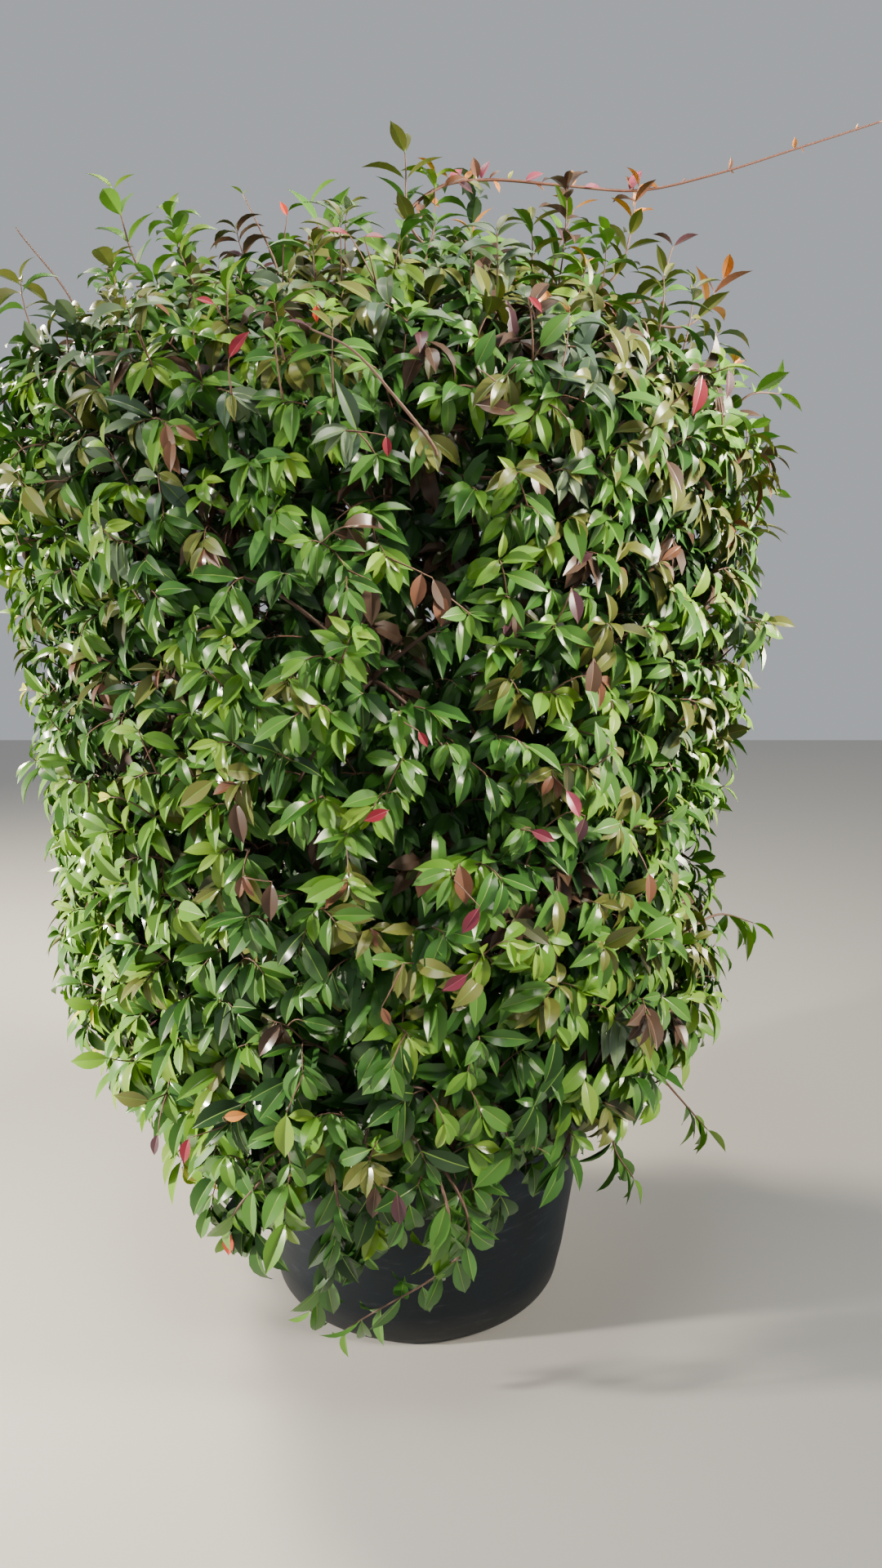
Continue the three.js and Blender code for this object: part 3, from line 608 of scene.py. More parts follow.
# Round the other sides the gaps are dealt out at random, by turn in degrees and height
side_gap_count = 46
side_gaps = np.random.default_rng(3).uniform((-28, 480), (208, 1680), (side_gap_count, 2))
gap_ways = np.radians(side_gaps[:, :1])
gap_ways = unit(np.hstack([np.cos(gap_ways), crown_depth * np.sin(gap_ways), 0 * gap_ways]))
gap_middles = [np.array([crown_x, 0, height]) for height in side_gaps[:, 1]]
side_gap_points = np.vstack([
    surface_from(middle, way[None]) for middle, way in zip(gap_middles, gap_ways)])


def sink_at(points):
    """How much further in than elsewhere the sprays begin, near points of the surface."""
    sink = roof_sink * np.clip(roof_slope * outward_at(points)[..., 2] - roof_start, 0, 1)
    angle = np.degrees(np.arctan2(points[..., 1], points[..., 0] - crown_x))
    for middle, level, most, wide, tall in drawn_in:
        off = (angle - middle + 180) % 360 - 180
        sink = sink + most * np.exp(-(off / wide) ** 2 - ((points[..., 2] - level) / tall) ** 2)
    return sink


def finer_tips(mass, taken, layer, source):
    """Tips of a layer of finer shoots in a mass: random places apart from all before them."""
    facing_share = source.uniform(*layer_facing, layer["tries"])[:, None]
    turn = source.uniform(0, 2 * math.pi, layer["tries"])[:, None]
    level = mass["across"] * np.cos(turn) + mass["along"] * np.sin(turn)
    ways = mass["facing"] * facing_share + level * np.sqrt(1 - facing_share ** 2)
    surface = surface_from(mass["centre"], ways)
    depth = source.uniform(*layer["depth"], layer["tries"])
    clumping = clump_start - clump_slope * ripples(surface, clump_sizes, 31)
    depth += clump_depth * np.clip(clumping, 0, clump_most)
    off = np.linalg.norm(surface[:, None, [0, 2]] - recess_places, axis=2).min(axis=1)
    off[surface[:, 1] > 0] = crown_span
    off = np.minimum(off, np.linalg.norm(surface[:, None] - side_gap_points, axis=2).min(axis=1))
    depth[(off < recess_spread) & (depth < recess_depth)] += recess_depth
    depth += sink_at(surface)
    tips = surface - outward_at(surface) * depth[:, None]
    fits = inside_cell(mass, tips) & clear_of_pot(tips, layer_spare)
    nearby = [tip for tip in taken if np.linalg.norm(tip - mass["centre"]) < mass_span]
    room = np.array([*nearby, far_off])
    chosen = []
    for candidate in np.flatnonzero(fits):
        if np.min(np.sum((room - tips[candidate]) ** 2, axis=1)) > layer["spacing"] ** 2:
            room = np.vstack([room, tips[candidate]])
            chosen.append(candidate)
    return tips[chosen], depth[chosen]


def plain_material(name, inputs):
    """A material without a pattern, by the values of its shader's inputs."""
    material, tree, shader = new_material(name)
    set_inputs(tree, shader, inputs)
    return material


# Young wood: brown with a grey bloom on the older twigs, and green-brown and smooth at the tips.
# They are plain colours, because a pattern would be finer than the twigs are wide.
twig_colours = {"older_twig": "#3e3029", "brown_twig": "#4c392e", "young_twig": "#6d5041",
                "long_twig": "#6b5043"}
twig_woods = [plain_material(name, {"Base Color": linear(colour), "Roughness": 0.7})
              for name, colour in twig_colours.items()]

# Stems run from the boughs to the masses' middles, first twigs branch there, and finer shoots leave
# either of them
main_radii = (4.0, 2.0)
shoot_radii = (1.7, 0.8)
stem_stations, main_stations, shoot_stations = 10, 14, 5
stem_sides, main_sides, shoot_sides = 10, 6, 3
# Stems and first twigs are bare at their first stations, and a shoot branches again in its middle
bare_stem = 4
bare_main = 2
forks = slice(2, 4)
# A shoot leaves the nearest wood, but wood counts as further off by these costs if it isn't enough
# deeper than the shoot's tip, or if it is too near
deeper_by = 24
shallow_cost = 2.0
too_near = 30
near_cost = 40
# How far shoots bend out and up, and the length round their bend, as shares of the straight length
shoot_outward = 0.10
shoot_lift = 0.16
arc_length = 1.06
grown = np.random.default_rng(5)
shoots = []
all_tips = []


def grow_shoot(kind, mass_index, ends, depth, length, leaf=None):
    """Adds a shoot by its start, bend and tip, and returns points along it."""
    track = bezier(*ends, np.linspace(0, 1, shoot_stations))
    shoots.append({"kind": kind, "mass": mass_index, "track": track, "ends": ends, "depth": depth,
                   "length": length, "leaf": leaf})
    return track


for index, mass in enumerate(masses):
    stem_start = mass["entry"] + mass["facing"] * piece_gap / 2
    stem_bend = stem_start + mass["facing"] * np.linalg.norm(stem_start - mass["centre"]) / 2
    mass["stem"] = bezier(stem_start, stem_bend, mass["centre"], np.linspace(0, 1, stem_stations))
    tips = main_tips(mass)
    spread = np.linalg.norm(tips - mass["centre"], axis=1)
    bends = mass["centre"] + (tips - mass["centre"]) * twig_bend[0]
    bends[:, 2] += twig_bend[1] * spread
    mass["mains"] = bezier(mass["centre"], bends, tips, np.linspace(0, 1, main_stations))
    fine, depth = np.zeros((0, 3)), np.zeros(0)
    for layer in shoot_layers:
        layer_tips, layer_depth = finer_tips(mass, all_tips, layer, grown)
        all_tips += list(layer_tips)
        fine, depth = np.vstack([fine, layer_tips]), np.append(depth, layer_depth)
    samples = np.vstack([mass["stem"][bare_stem:], mass["mains"][:, bare_main:].reshape(-1, 3)])
    sample_cover = cover_over(samples)[0]
    for tip_index in np.argsort(-depth):
        tip = fine[tip_index]
        shallow = np.maximum(0, cover_over(tip)[0] + deeper_by - sample_cover)
        distance = np.linalg.norm(samples - tip, axis=1)
        cost = distance + shallow_cost * shallow + near_cost * (distance < too_near)
        start = samples[np.argmin(cost)]
        length = np.linalg.norm(tip - start)
        bend = start + (tip - start) * twig_bend[0]
        bend = bend + outward_at(tip) * shoot_outward * length
        bend[2] += (twig_bend[1] + shoot_lift * grown.uniform()) * length
        track = grow_shoot("fine", index, (start, bend, tip), depth[tip_index] - sink_at(tip),
                           length * arc_length)
        samples = np.vstack([samples, track[forks]])
        sample_cover = np.append(sample_cover, cover_over(track[forks])[0])

# Some shoots have run on past the others: up from the roof, and a little way out from the sides,
# but no further past the plant's own box than a part of a leaf's length
box_spill = 32
box_low, box_high = (np.array(corner) / mm for corner in cad_box)
runaway_share = {"roof": 0.33, "side": 0.16}
runaway_up = {"roof": (36, 112), "side": (-8, 20)}
runaway_out = {"roof": (0, 26), "side": (10, 36)}
runaway_depth = 26
runaway_lowest = 520
runaway_stray = 11
runaway_bow = 0.14
roof_upward = 0.22
for shoot in [shoot for shoot in shoots if shoot["depth"] < runaway_depth]:
    tip = shoot["ends"][2]
    outward = outward_at(tip)
    part = "roof" if outward[2] > roof_upward else "side"
    if grown.uniform() > runaway_share[part] or tip[2] < runaway_lowest:
        continue
    step = outward * grown.uniform(*runaway_out[part]) + grown.normal(0, runaway_stray, 3)
    step[2] += grown.uniform(*runaway_up[part])
    if np.any((tip + step < box_low - box_spill) | (tip + step > box_high + box_spill)):
        continue
    length = np.linalg.norm(step)
    bend = tip + step / 2 + outward * runaway_bow * length
    grow_shoot("runaway", shoot["mass"], (tip, bend, tip + step), 0.0, length)

# Shoots hang from the hem all round, and over the tub's rim along the front, where they are longest
fringe_count = 140
fringe_turns = (-180, 180)
# Those that face the front by more than this share are dealt out again along the rim
front_facing = 0.6
front_turns = (-142, -52)
fringe_start = (0, 80)
fringe_inset = (10, 60)
fringe_out = (-12, 24)
fringe_drop = (40, 140)
fringe_stray = 18
fringe_bend = 0.45
fringe_bow = 26
fringe_lift = 16
fringe_spare = 22
fringe_arc = 1.08
fringe_shares = np.linspace(0, 1, shoot_stations)
# How long they are, by their angle round the crown in degrees
fringe_angles = [-180, -160, -146, -132, -120, -90, -72, -50, -20, 180]
fringe_most = [0.35, 0.25, 0.1, 0.5, 1.0, 1.0, 0.7, 0.2, 0.35, 0.35]
for _ in range(fringe_count):
    angle = math.radians(grown.uniform(*fringe_turns))
    if math.sin(angle) < -front_facing:
        angle = math.radians(grown.uniform(*front_turns))
    fall = grown.uniform(*fringe_start)
    middle = np.array([crown_x, 0.0, hem_height + fall])
    way = np.array([[math.cos(angle), crown_depth * math.sin(angle), 0.0]])
    start = surface_from(middle, unit(way))[0]
    start = start - way[0] * (grown.uniform(*fringe_inset) + sink_at(start))
    most = np.interp(math.degrees(angle), fringe_angles, fringe_most)
    drop = grown.uniform(*fringe_drop) * most
    tip = start + way[0] * grown.uniform(*fringe_out) + [grown.normal(0, fringe_stray), 0, -drop]
    bend = start * (1 - fringe_bend) + tip * fringe_bend + way[0] * fringe_bow + [0, 0, fringe_lift]
    index = int(np.argmin(np.linalg.norm(centre_of - start, axis=1)))
    if np.all(clear_of_pot(bezier(start, bend, tip, fringe_shares), fringe_spare)):
        grow_shoot("hanging", index, (start, bend, tip), 0.0, np.linalg.norm(tip - start) * fringe_arc)

# Short side shoots end in single leaves that have turned, or that stand out: the leaf's colour, its
# place, the way that its tip points across and up, and its length
turned_leaves = [
    ("crimson", (-225, -562, 1641), (0.5, 0.75), 44), ("crimson", (408, -460, 1641), (-0.1, -1.0), 56),
    ("plum", (457, -409, 1661), (0.1, -1.0), 44), ("crimson", (-22, -600, 1541), (0.1, -1.0), 27),
    ("dry", (-309, -563, 1563), (0.1, -1.0), 50), ("dry", (-300, -566, 1544), (-0.2, -1.0), 46),
    ("dry", (-309, -565, 1533), (0.4, -1.0), 40), ("dry", (-297, -565, 1559), (0.8, -0.5), 36),
    ("flame", (-169, -390, 1867), (-0.3, 0.8), 22), ("crimson", (-73, -510, 1806), (-0.9, 0.3), 30),
    ("crimson", (-53, -517, 1801), (0.9, 0.1), 28), ("flame", (-110, -576, 1703), (0.0, -1.0), 22),
    ("crimson", (-244, -545, 1711), (-0.7, 0.3), 26), ("olive", (-348, -521, 1680), (0.1, 1.0), 54),
    ("crimson", (159, -553, 1719), (0.7, -0.6), 28), ("bronze", (92, -556, 1586), (0.9, -0.1), 58),
    ("grass", (173, -567, 1652), (0.6, 0.75), 60), ("mid", (92, -568, 1629), (0.4, 0.8), 54),
    ("crimson", (-22, -602, 1058), (-0.8, -0.3), 38), ("rose", (222, -542, 1075), (0.5, -0.8), 46),
    ("plum", (251, -533, 1035), (-0.3, -1.0), 46), ("claret", (171, -568, 1022), (0.9, -0.3), 38),
    ("claret", (100, -604, 924), (-0.5, -0.8), 46), ("bronze", (36, -554, 1365), (0.5, -0.9), 54),
    ("copper", (22, -557, 1372), (-0.2, -1.0), 50), ("copper", (45, -554, 1349), (0.1, -1.0), 50),
    ("bronze", (-44, -587, 1361), (0.0, -1.0), 60), ("bronze", (260, -512, 1256), (0.0, -1.0), 62),
    ("copper", (73, -576, 978), (0.2, -1.0), 62), ("copper", (34, -581, 984), (-0.3, -0.9), 58),
    ("olive", (-257, -593, 1097), (-0.8, -0.5), 62), ("bronze", (-233, -574, 1065), (0.1, -1.0), 62),
    ("bronze", (-187, -574, 951), (-0.1, -1.0), 58), ("copper", (359, -448, 932), (0.2, -1.0), 52),
    ("claret", (85, -605, 828), (-0.8, -0.5), 44), ("amber", (-276, -535, 580), (0.9, 0.2), 38),
    ("crimson", (-333, -512, 535), (-0.3, -0.9), 44), ("plum", (-389, -479, 524), (-0.3, -0.9), 38),
    ("copper", (-35, -599, 778), (0.3, -0.6), 30), ("bronze", (-51, -530, 467), (-0.1, -1.0), 56),
    ("plum", (-18, -550, 467), (0.1, -1.0), 54), ("spring", (-476, -421, 621), (-1.0, 0.0), 64),
    ("spring", (-502, -401, 701), (-0.9, 0.2), 50), ("olive", (-401, -471, 574), (-0.9, 0.2), 58),
    ("lime", (-177, -564, 602), (-0.1, -1.0), 72), ("crimson", (17, -585, 1163), (0.5, -0.8), 26),
    ("plum", (222, -555, 1352), (0.3, -1.0), 50), ("bronze", (170, -540, 1519), (0.3, -1.0), 56),
    ("bronze", (358, -477, 1527), (0.5, -0.7), 52), ("flame", (-290, -445, 338), (-0.2, -1.0), 46),
]
# They branch from shoots that end no deeper than this, and bow out by a share of their length
turned_depth = 70
turned_bow = 0.15
near_surface = [shoot for shoot in shoots if shoot["kind"] != "runaway" and shoot["depth"] < turned_depth]
shoot_tips = np.array([shoot["ends"][2] for shoot in near_surface])
for leaf in turned_leaves:
    place = np.array(leaf[1], dtype=float)
    source = near_surface[int(np.argmin(np.linalg.norm(shoot_tips - place, axis=1)))]
    start = source["ends"][2]
    length = np.linalg.norm(place - start)
    bend = (start + place) / 2 + outward_at(place) * turned_bow * length
    grow_shoot("turned", source["mass"], (start, bend, place), 0.0, length, leaf)

for level, ring in enumerate(rings):
    own = [mass for mass in masses if mass["ring"] == level]
    stems = np.array([mass["stem"] for mass in own])
    mains = np.vstack([mass["mains"] for mass in own])
    tracks = np.array([shoot["track"] for shoot in shoots if masses[shoot["mass"]]["ring"] == level])
    parts = [
        tubes(stems, np.linspace(bough_radii[1], main_radii[0], stem_stations), stem_sides),
        tubes(mains, np.linspace(*main_radii, main_stations), main_sides),
        tubes(tracks, np.linspace(*shoot_radii, shoot_stations), shoot_sides),
    ]
    points = np.vstack([part[0] for part in parts])
    shift = np.cumsum([0] + [len(part[0]) for part in parts])
    faces = np.vstack([part[1] + start for part, start in zip(parts, shift)])
    which = np.concatenate([np.full(len(part[1]), kind) for kind, part in enumerate(parts)])
    twigs = add_piece(f"twigs_{ring['name']}", points, faces, twig_woods[:3], which)
    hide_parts(*[f"foliage_{mass['name']}" for mass in own])

# The leaves
# Leathery evergreen blades in opposite pairs, pointed and a little folded along a paler midrib.
# They sit on short stalks, crowd into drooping rosettes at the shoot tips, and darken with age.
leaf_length = 59
# Shares of a blade's length: its width from narrow to broad, and its midrib, which tapers by a share
leaf_widths = (0.33, 0.44)
rib_share = 0.024
rib_taper = 0.6
# A blade's outline, full and plain: places along it, and there the share of its greatest width
full_stations = np.array([0.0, 0.06, 0.16, 0.30, 0.46, 0.62, 0.77, 0.90, 1.0])
full_halves = np.array([0.06, 0.08, 0.50, 0.86, 1.0, 0.91, 0.60, 0.21, 0.0])
plain_stations = np.array([0.0, 0.28, 0.66, 1.0])
plain_halves = np.array([0.07, 0.92, 0.80, 0.0])
# From the tip back: the gaps between pairs of leaves, and the leaves' sizes
node_steps = [2, 5, 10, 17, 24]
node_sizes = [0.66, 0.94, 1.05, 1.06, 1.0]
# Leaves this far inside the crown are plain blades without a midrib
deep_cover = 48

# Leaf blades: soft tissue under a clear waxy skin, so each is one even colour with sharp glints.
# The names say which age or season most colours come from, and the midribs are paler strips.
# Yellow in the sunlit sprays is painted light, for leaves lit through from behind, and the
# greyest greens of the upper sprays are partly the leaves' own dull tone and partly painted haze
# and sky sheen. Young leaves have the smoother wax, and on the oldest it has worn thin.
leaf_colours = {
    "spring": "#6f9f18", "lime": "#799d2f", "fresh": "#5c8b27", "grass": "#487729", "mid": "#366422",
    "deep": "#284d1d", "dark": "#1d3a18", "olive": "#646a2e", "moss": "#414829", "bronze": "#4b392c",
    "copper": "#714a34", "plum": "#4b3038", "claret": "#6b2637", "crimson": "#80192a",
    "rose": "#9c4458", "flame": "#c8401f", "amber": "#cb8338", "yellow": "#c3c233", "dry": "#6a4a34",
    "grey_and_sheen": "#64785a", "sage": "#4a634c",
    "rib_green": "#6c8d3a", "rib_bronze": "#755844", "rib_red": "#9c4f5b",
}
leaf_names = list(leaf_colours)
young_colours = ("spring", "lime", "fresh", "yellow", "amber")
old_colours = ("deep", "dark", "moss", "bronze", "plum", "dry")
leaf_materials = [plain_material(f"leaf_{name}", {
    "Base Color": linear(colour), "Roughness": 0.5, "IOR": 1.45, "Specular IOR Level": 0.2,
    "Coat Weight": 0.4 if name in old_colours else 0.58,
    "Coat Roughness": 0.15 if name in young_colours else 0.22,
}) for name, colour in leaf_colours.items()]
tone = {name: number for number, name in enumerate(leaf_names)}
rib_of = np.full(len(leaf_names), tone["rib_green"])
for name in ("bronze", "copper", "plum", "dry", "amber", "moss"):
    rib_of[tone[name]] = tone["rib_bronze"]
for name in ("claret", "crimson", "rose", "flame"):
    rib_of[tone[name]] = tone["rib_red"]

# Sprays by their age and place: the colour of each pair of leaves, from the tip back. Bright,
# green, leafy, shade and dusk are one set of greens in steps from light to dark, and sunlit is
# painted light: yellow leaves that stand for leaves lit through from behind.
spray_ages = {
    "bright": ["spring", "lime", "fresh", "fresh", "grass"],
    "green": ["lime", "fresh", "fresh", "grass", "grass"],
    "leafy": ["fresh", "grass", "grass", "mid", "mid"],
    "shade": ["grass", "mid", "mid", "deep", "deep"],
    "dusk": ["mid", "deep", "deep", "dark", "dark"],
    "olive": ["olive", "olive", "grass", "olive", "moss"],
    # This spray's grey-greens are partly the leaves' own dull tone and partly painted haze and sky sheen
    "grey_and_sheen": ["olive", "grey_and_sheen", "grey_and_sheen", "sage", "sage"],
    "bronze": ["moss", "bronze", "bronze", "bronze", "plum"],
    "young": ["amber", "lime", "fresh", "grass", "mid"],
    "rust": ["copper", "olive", "olive", "grass", "mid"],
    "tawny": ["amber", "copper", "amber", "olive", "olive"],
    "wine": ["plum", "olive", "grass", "grass", "mid"],
    "sunlit": ["yellow", "spring", "spring", "lime", "fresh"],
}
# How many of each spray grow in a region of the crown, against the others there. Where the shares
# lean light or dark by place, that is painted light and painted shade.
spray_shares = {
    "outer": {"bright": 6, "green": 24, "leafy": 36, "shade": 19, "dusk": 4, "olive": 6, "rust": 2,
              "bronze": 3},
    # The far left and low left take sunlit and bright sprays as painted light, as if lit through from
    # behind on the left
    "far left": {"sunlit": 7, "bright": 21, "green": 28, "leafy": 26, "shade": 8, "olive": 6, "bronze": 4},
    "low left": {"sunlit": 9, "bright": 25, "green": 29, "leafy": 25, "shade": 4, "olive": 6, "rust": 2},
    # Low down the sprays are mostly dark: painted shade under the crown
    "low": {"bright": 5, "green": 8, "leafy": 14, "shade": 27, "dusk": 36, "olive": 7, "bronze": 3},
    # The roof and the upper regions lean to olive and grey sprays: partly the leaves' own dull tone,
    # partly painted haze and sky sheen
    "roof": {"bright": 2, "green": 9, "leafy": 12, "shade": 12, "dusk": 3, "olive": 20, "rust": 9,
             "bronze": 8, "young": 3, "grey_and_sheen": 30},
    "upper": {"bright": 5, "green": 17, "leafy": 22, "shade": 16, "dusk": 3, "olive": 12, "rust": 3,
              "bronze": 5, "grey_and_sheen": 24},
    "upper right": {"bright": 6, "green": 17, "leafy": 15, "shade": 4, "olive": 30, "rust": 7, "bronze": 6,
                    "grey_and_sheen": 26},
    "roof right": {"young": 6, "bright": 4, "green": 11, "leafy": 12, "shade": 4, "olive": 30, "rust": 13,
                   "bronze": 8, "grey_and_sheen": 22},
    # The right takes lighter sprays as painted light: a hazy brightness on that side
    "right": {"bright": 16, "green": 28, "leafy": 23, "shade": 4, "olive": 20, "rust": 4, "bronze": 3,
              "grey_and_sheen": 7},
    # The middle and inner sprays are darker: painted shade deep inside the crown
    "middle": {"leafy": 20, "shade": 38, "dusk": 22, "olive": 9, "bronze": 11},
    "inner": {"shade": 14, "dusk": 72, "bronze": 14},
}
# Sprays deeper than these take the middle and inner shares, with their painted shade
inner_depth, middle_depth = 85, 46
# The outer regions, by the least and most across and up: the first that holds a tip counts
anywhere = (-math.inf, math.inf)
outer_regions = [
    ("roof right", (130, math.inf), (1700, math.inf)), ("roof", anywhere, (1700, math.inf)),
    ("upper right", (120, math.inf), (1350, math.inf)), ("right", (250, math.inf), anywhere),
    ("far left", (-math.inf, -560), anywhere), ("low left", (-math.inf, -300), (-math.inf, 1150)),
    ("upper", anywhere, (1400, math.inf)), ("low", anywhere, (-math.inf, 800)),
    ("outer", anywhere, anywhere),
]


def spray_kind(tip, depth, source):
    """The kind of a spray, by how deep it lies and where on the crown it is."""
    if depth > middle_depth:
        region = "inner" if depth > inner_depth else "middle"
    else:
        region = next(name for name, (left, right), (low, high) in outer_regions
                      if left < tip[0] < right and low < tip[2] < high)
    shares = spray_shares[region]
    return source.choice(list(shares), p=np.array(list(shares.values())) / sum(shares.values()))


# How the pairs stand: shares of the gaps, the bare foot of a shoot as a share of its length, each
# second pair's turn in right angles, and turns of the whole spray and of a pair in radians
gap_shares = (0.8, 1.25)
bare_foot = 0.12
second_turn = 0.62
spray_turns = (-0.5, 0.5)
pair_turns = (-0.25, 0.25)
# How a blade points, against one across the shoot: along it, out of the crown, down, and astray
tip_forward = (0.9, 1.6)
forward = (0.35, 0.75)
roof_forward = 0.6
blade_outward = (0.05, 0.45)
droop_shares = (0.35, 1.4)
side_droop = 0.78
roof_lift = 0.80
low_droop = 0.6
low_heights = [430, 640]
way_stray = 0.15
# How its upper face turns: up from the crown's surface, away from the shoot on the roof, and astray
face_upward = 0.55
face_opening = 0.55
face_stray = 0.16
# Its own shape: share of the usual length, arch in radians, more of it on the roof, fold in degrees
length_shares = (0.82, 1.2)
arches = (0.4, 1.45)
roof_arch = 0.35
folds = (10, 31)
# Of five leaves one is a step younger and one a step older than its pair, up to the oldest age
age_steps = [-1, 0, 0, 0, 1]
oldest = 4


def leaf_row(root, way, face, long, width, arch, fold, colour):
    """The numbers of one leaf, with its fold given in degrees and its colour by name."""
    return [*root, *way, *face, long, width, arch, math.radians(fold), tone[colour]]


def spray_leaves(track_ends, length, kind, source, pairs, size, open_by):
    """Leaves of one shoot, in pairs from its tip back, as rows of numbers for each leaf."""
    start, bend, tip = track_ends
    rows = []
    spin = source.uniform(*spray_turns)
    back = 0.0
    for pair in range(pairs):
        back += node_steps[pair] * source.uniform(*gap_shares) * open_by
        share = 1 - back / max(length, 1)
        if share < bare_foot:
            break
        root = bezier(start, bend, tip, [share])[0]
        tangent = unit(2 * (1 - share) * (bend - start) + 2 * share * (tip - bend))
        outward = outward_at(root)
        face = unit(outward + [0, 0, face_upward])
        side = unit(np.cross(tangent, face))
        over = np.cross(side, tangent)
        lean = math.pi / 2 * second_turn * (pair % 2) + spin + source.uniform(*pair_turns)
        roof = max(0.0, outward[2])
        droop = side_droop - roof_lift * roof + np.interp(root[2], low_heights, [low_droop, 0])
        for hand in (-1, 1):
            away = hand * (side * math.cos(lean) + over * math.sin(lean))
            along_shoot = source.uniform(*(forward if pair else tip_forward))
            along_shoot *= 1 + roof_forward * roof
            way = away + tangent * along_shoot + outward * source.uniform(*blade_outward)
            way = way + source.normal(0, way_stray, 3)
            way[2] -= droop * source.uniform(*droop_shares)
            turned = unit(face - face_opening * roof * away + source.normal(0, face_stray, 3))
            long = leaf_length * size * node_sizes[pair] * source.uniform(*length_shares)
            age = int(np.clip(pair + source.choice(age_steps), 0, oldest))
            rows.append(leaf_row(
                root, unit(way), turned, long, source.uniform(*leaf_widths),
                source.uniform(*arches) + roof_arch * roof, source.uniform(*folds),
                spray_ages[kind][age]))
    return rows


def add_leaves(name, leaves, full):
    """A piece of many leaves by their numbers: folded halves, and a midrib where the blade is full."""
    stations, halves = (full_stations, full_halves) if full else (plain_stations, plain_halves)
    root, way, face = leaves[:, 0:3], leaves[:, 3:6], leaves[:, 6:9]
    length, width, arch, fold, colour = leaves[:, 9:14].T
    across = unit(np.cross(way, face))
    normal = np.cross(across, way)
    turn = arch[:, None] * stations
    run = length[:, None] * np.sin(turn) / arch[:, None]
    drop = length[:, None] * (1 - np.cos(turn)) / arch[:, None]
    middle = root[:, None] + run[..., None] * way[:, None] - drop[..., None] * normal[:, None]
    lift = np.sin(turn)[..., None] * way[:, None] + np.cos(turn)[..., None] * normal[:, None]
    half = (length * width / 2)[:, None] * halves
    rib = np.minimum(half, (length * rib_share / 2)[:, None]) * (1 - rib_taper * stations) * full
    flat = (np.cos(fold)[:, None] * half)[..., None] * across[:, None]
    up = (np.sin(fold)[:, None] * half)[..., None] * lift
    near = rib[..., None] * across[:, None]
    columns = [middle - flat + up, middle - near, middle + near, middle + flat + up]
    strips = [(columns[0], columns[1], colour), (columns[2], columns[3], colour)]
    if full:
        strips.append((columns[1], columns[2], rib_of[colour.astype(int)]))
    count = len(stations)
    pattern = [(station, station + count, station + count + 1) for station in range(count - 1)]
    pattern += [(station, station + count + 1, station + 1) for station in range(count - 2)]
    pattern = np.array(pattern)
    points, faces, which = [], [], []
    made = 0
    for left, right, paint in strips:
        points.append(np.concatenate([left, right], axis=1).reshape(-1, 3))
        shift = made + np.arange(len(leaves)) * 2 * count
        faces.append((pattern + shift[:, None, None]).reshape(-1, 3))
        which.append(np.repeat(paint, len(pattern)))
        made += len(leaves) * 2 * count
    return add_piece(name, np.vstack(points), np.vstack(faces), leaf_materials, np.concatenate(which))


# Leaves are larger low down. The deepest shoots bear fewer pairs, and on shoots that have run on or
# hang down the pairs stand further apart.
size_heights = [450, 800, 1100, 1700]
size_shares = [1.32, 1.12, 1.0, 1.04]
few_pairs_depth = 80
few_pairs = 3
spray_pairs = {"fine": 4, "runaway": 5, "hanging": 4}
spray_openness = {"fine": 1.0, "runaway": 1.5, "hanging": 1.9}
# A turned leaf points a little to the front, faces out and up, and has this width, arch and fold
turned_face = (0, -0.3, 0.3)
turned_forward = 0.25
turned_shape = (0.45, 0.5, 16)
leaf_source = np.random.default_rng(17)
rows, row_mass, row_free = [], [], []
for shoot in shoots:
    tip = shoot["ends"][2]
    if shoot["kind"] == "turned":
        colour, place, (right, upward), long = shoot["leaf"]
        way = unit(np.array([right, -turned_forward, upward]))
        made = [leaf_row(place, way, unit(outward_at(tip) + turned_face), long, *turned_shape, colour)]
    else:
        kind = spray_kind(tip, shoot["depth"], leaf_source)
        size = np.interp(tip[2], size_heights, size_shares)
        pairs = few_pairs if shoot["depth"] >= few_pairs_depth else spray_pairs[shoot["kind"]]
        made = spray_leaves(shoot["ends"], shoot["length"], kind, leaf_source, pairs, size,
                            spray_openness[shoot["kind"]])
    rows += made
    row_mass += [shoot["mass"]] * len(made)
    row_free += [shoot["kind"] != "fine"] * len(made)
leaves, row_mass, row_free = np.array(rows), np.array(row_mass), np.array(row_free)

# A leaf is left out where it would leave the crown's outline, reach past the plant's own box, or
# touch the tub. The leaves of shoots that have run on may leave the outline.
leaf_spill = 38
hem_spill = 70
root_spare = 3
leaf_tips = leaves[:, 0:3] + leaves[:, 3:6] * leaves[:, 9:10]
tip_side, tip_hem = cover_over(leaf_tips)
middles = (leaves[:, 0:3] + leaf_tips) / 2
kept = row_free | (tip_side > -leaf_spill) & (tip_hem > -hem_spill)
kept &= np.all((leaf_tips > box_low - box_spill) & (leaf_tips < box_high + box_spill), axis=1)
kept &= clear_of_pot(leaf_tips) & clear_of_pot(middles) & clear_of_pot(leaves[:, 0:3], root_spare)
leaves, row_mass = leaves[kept], row_mass[kept]

covers = cover_over(leaves[:, 0:3])[0] - sink_at(leaves[:, 0:3])
for level, ring in enumerate(rings):
    in_ring = np.array([mass["ring"] == level for mass in masses])[row_mass]
    for label, chosen, full in (("leaves", in_ring & (covers < deep_cover), True),
                                ("inner_leaves", in_ring & (covers >= deep_cover), False)):
        piece = add_leaves(f"{label}_{ring['name']}", leaves[chosen], full)
        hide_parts(*[f"foliage_{mass['name']}" for mass in masses if mass["ring"] == level])

# The long shoots
# Young shoots that outgrew the crown: some stand above the roof, and some trail over the tub. Each
# bears leaves in pairs, and the newest are amber or bronze before they turn green.
long_radii = (3.0, 1.2)
long_sizes = [0.75, 1.0, 1.05, 1.0, 0.95]
long_stations = 26
long_sides = 6
long_start = 0.02
root_cover = 85
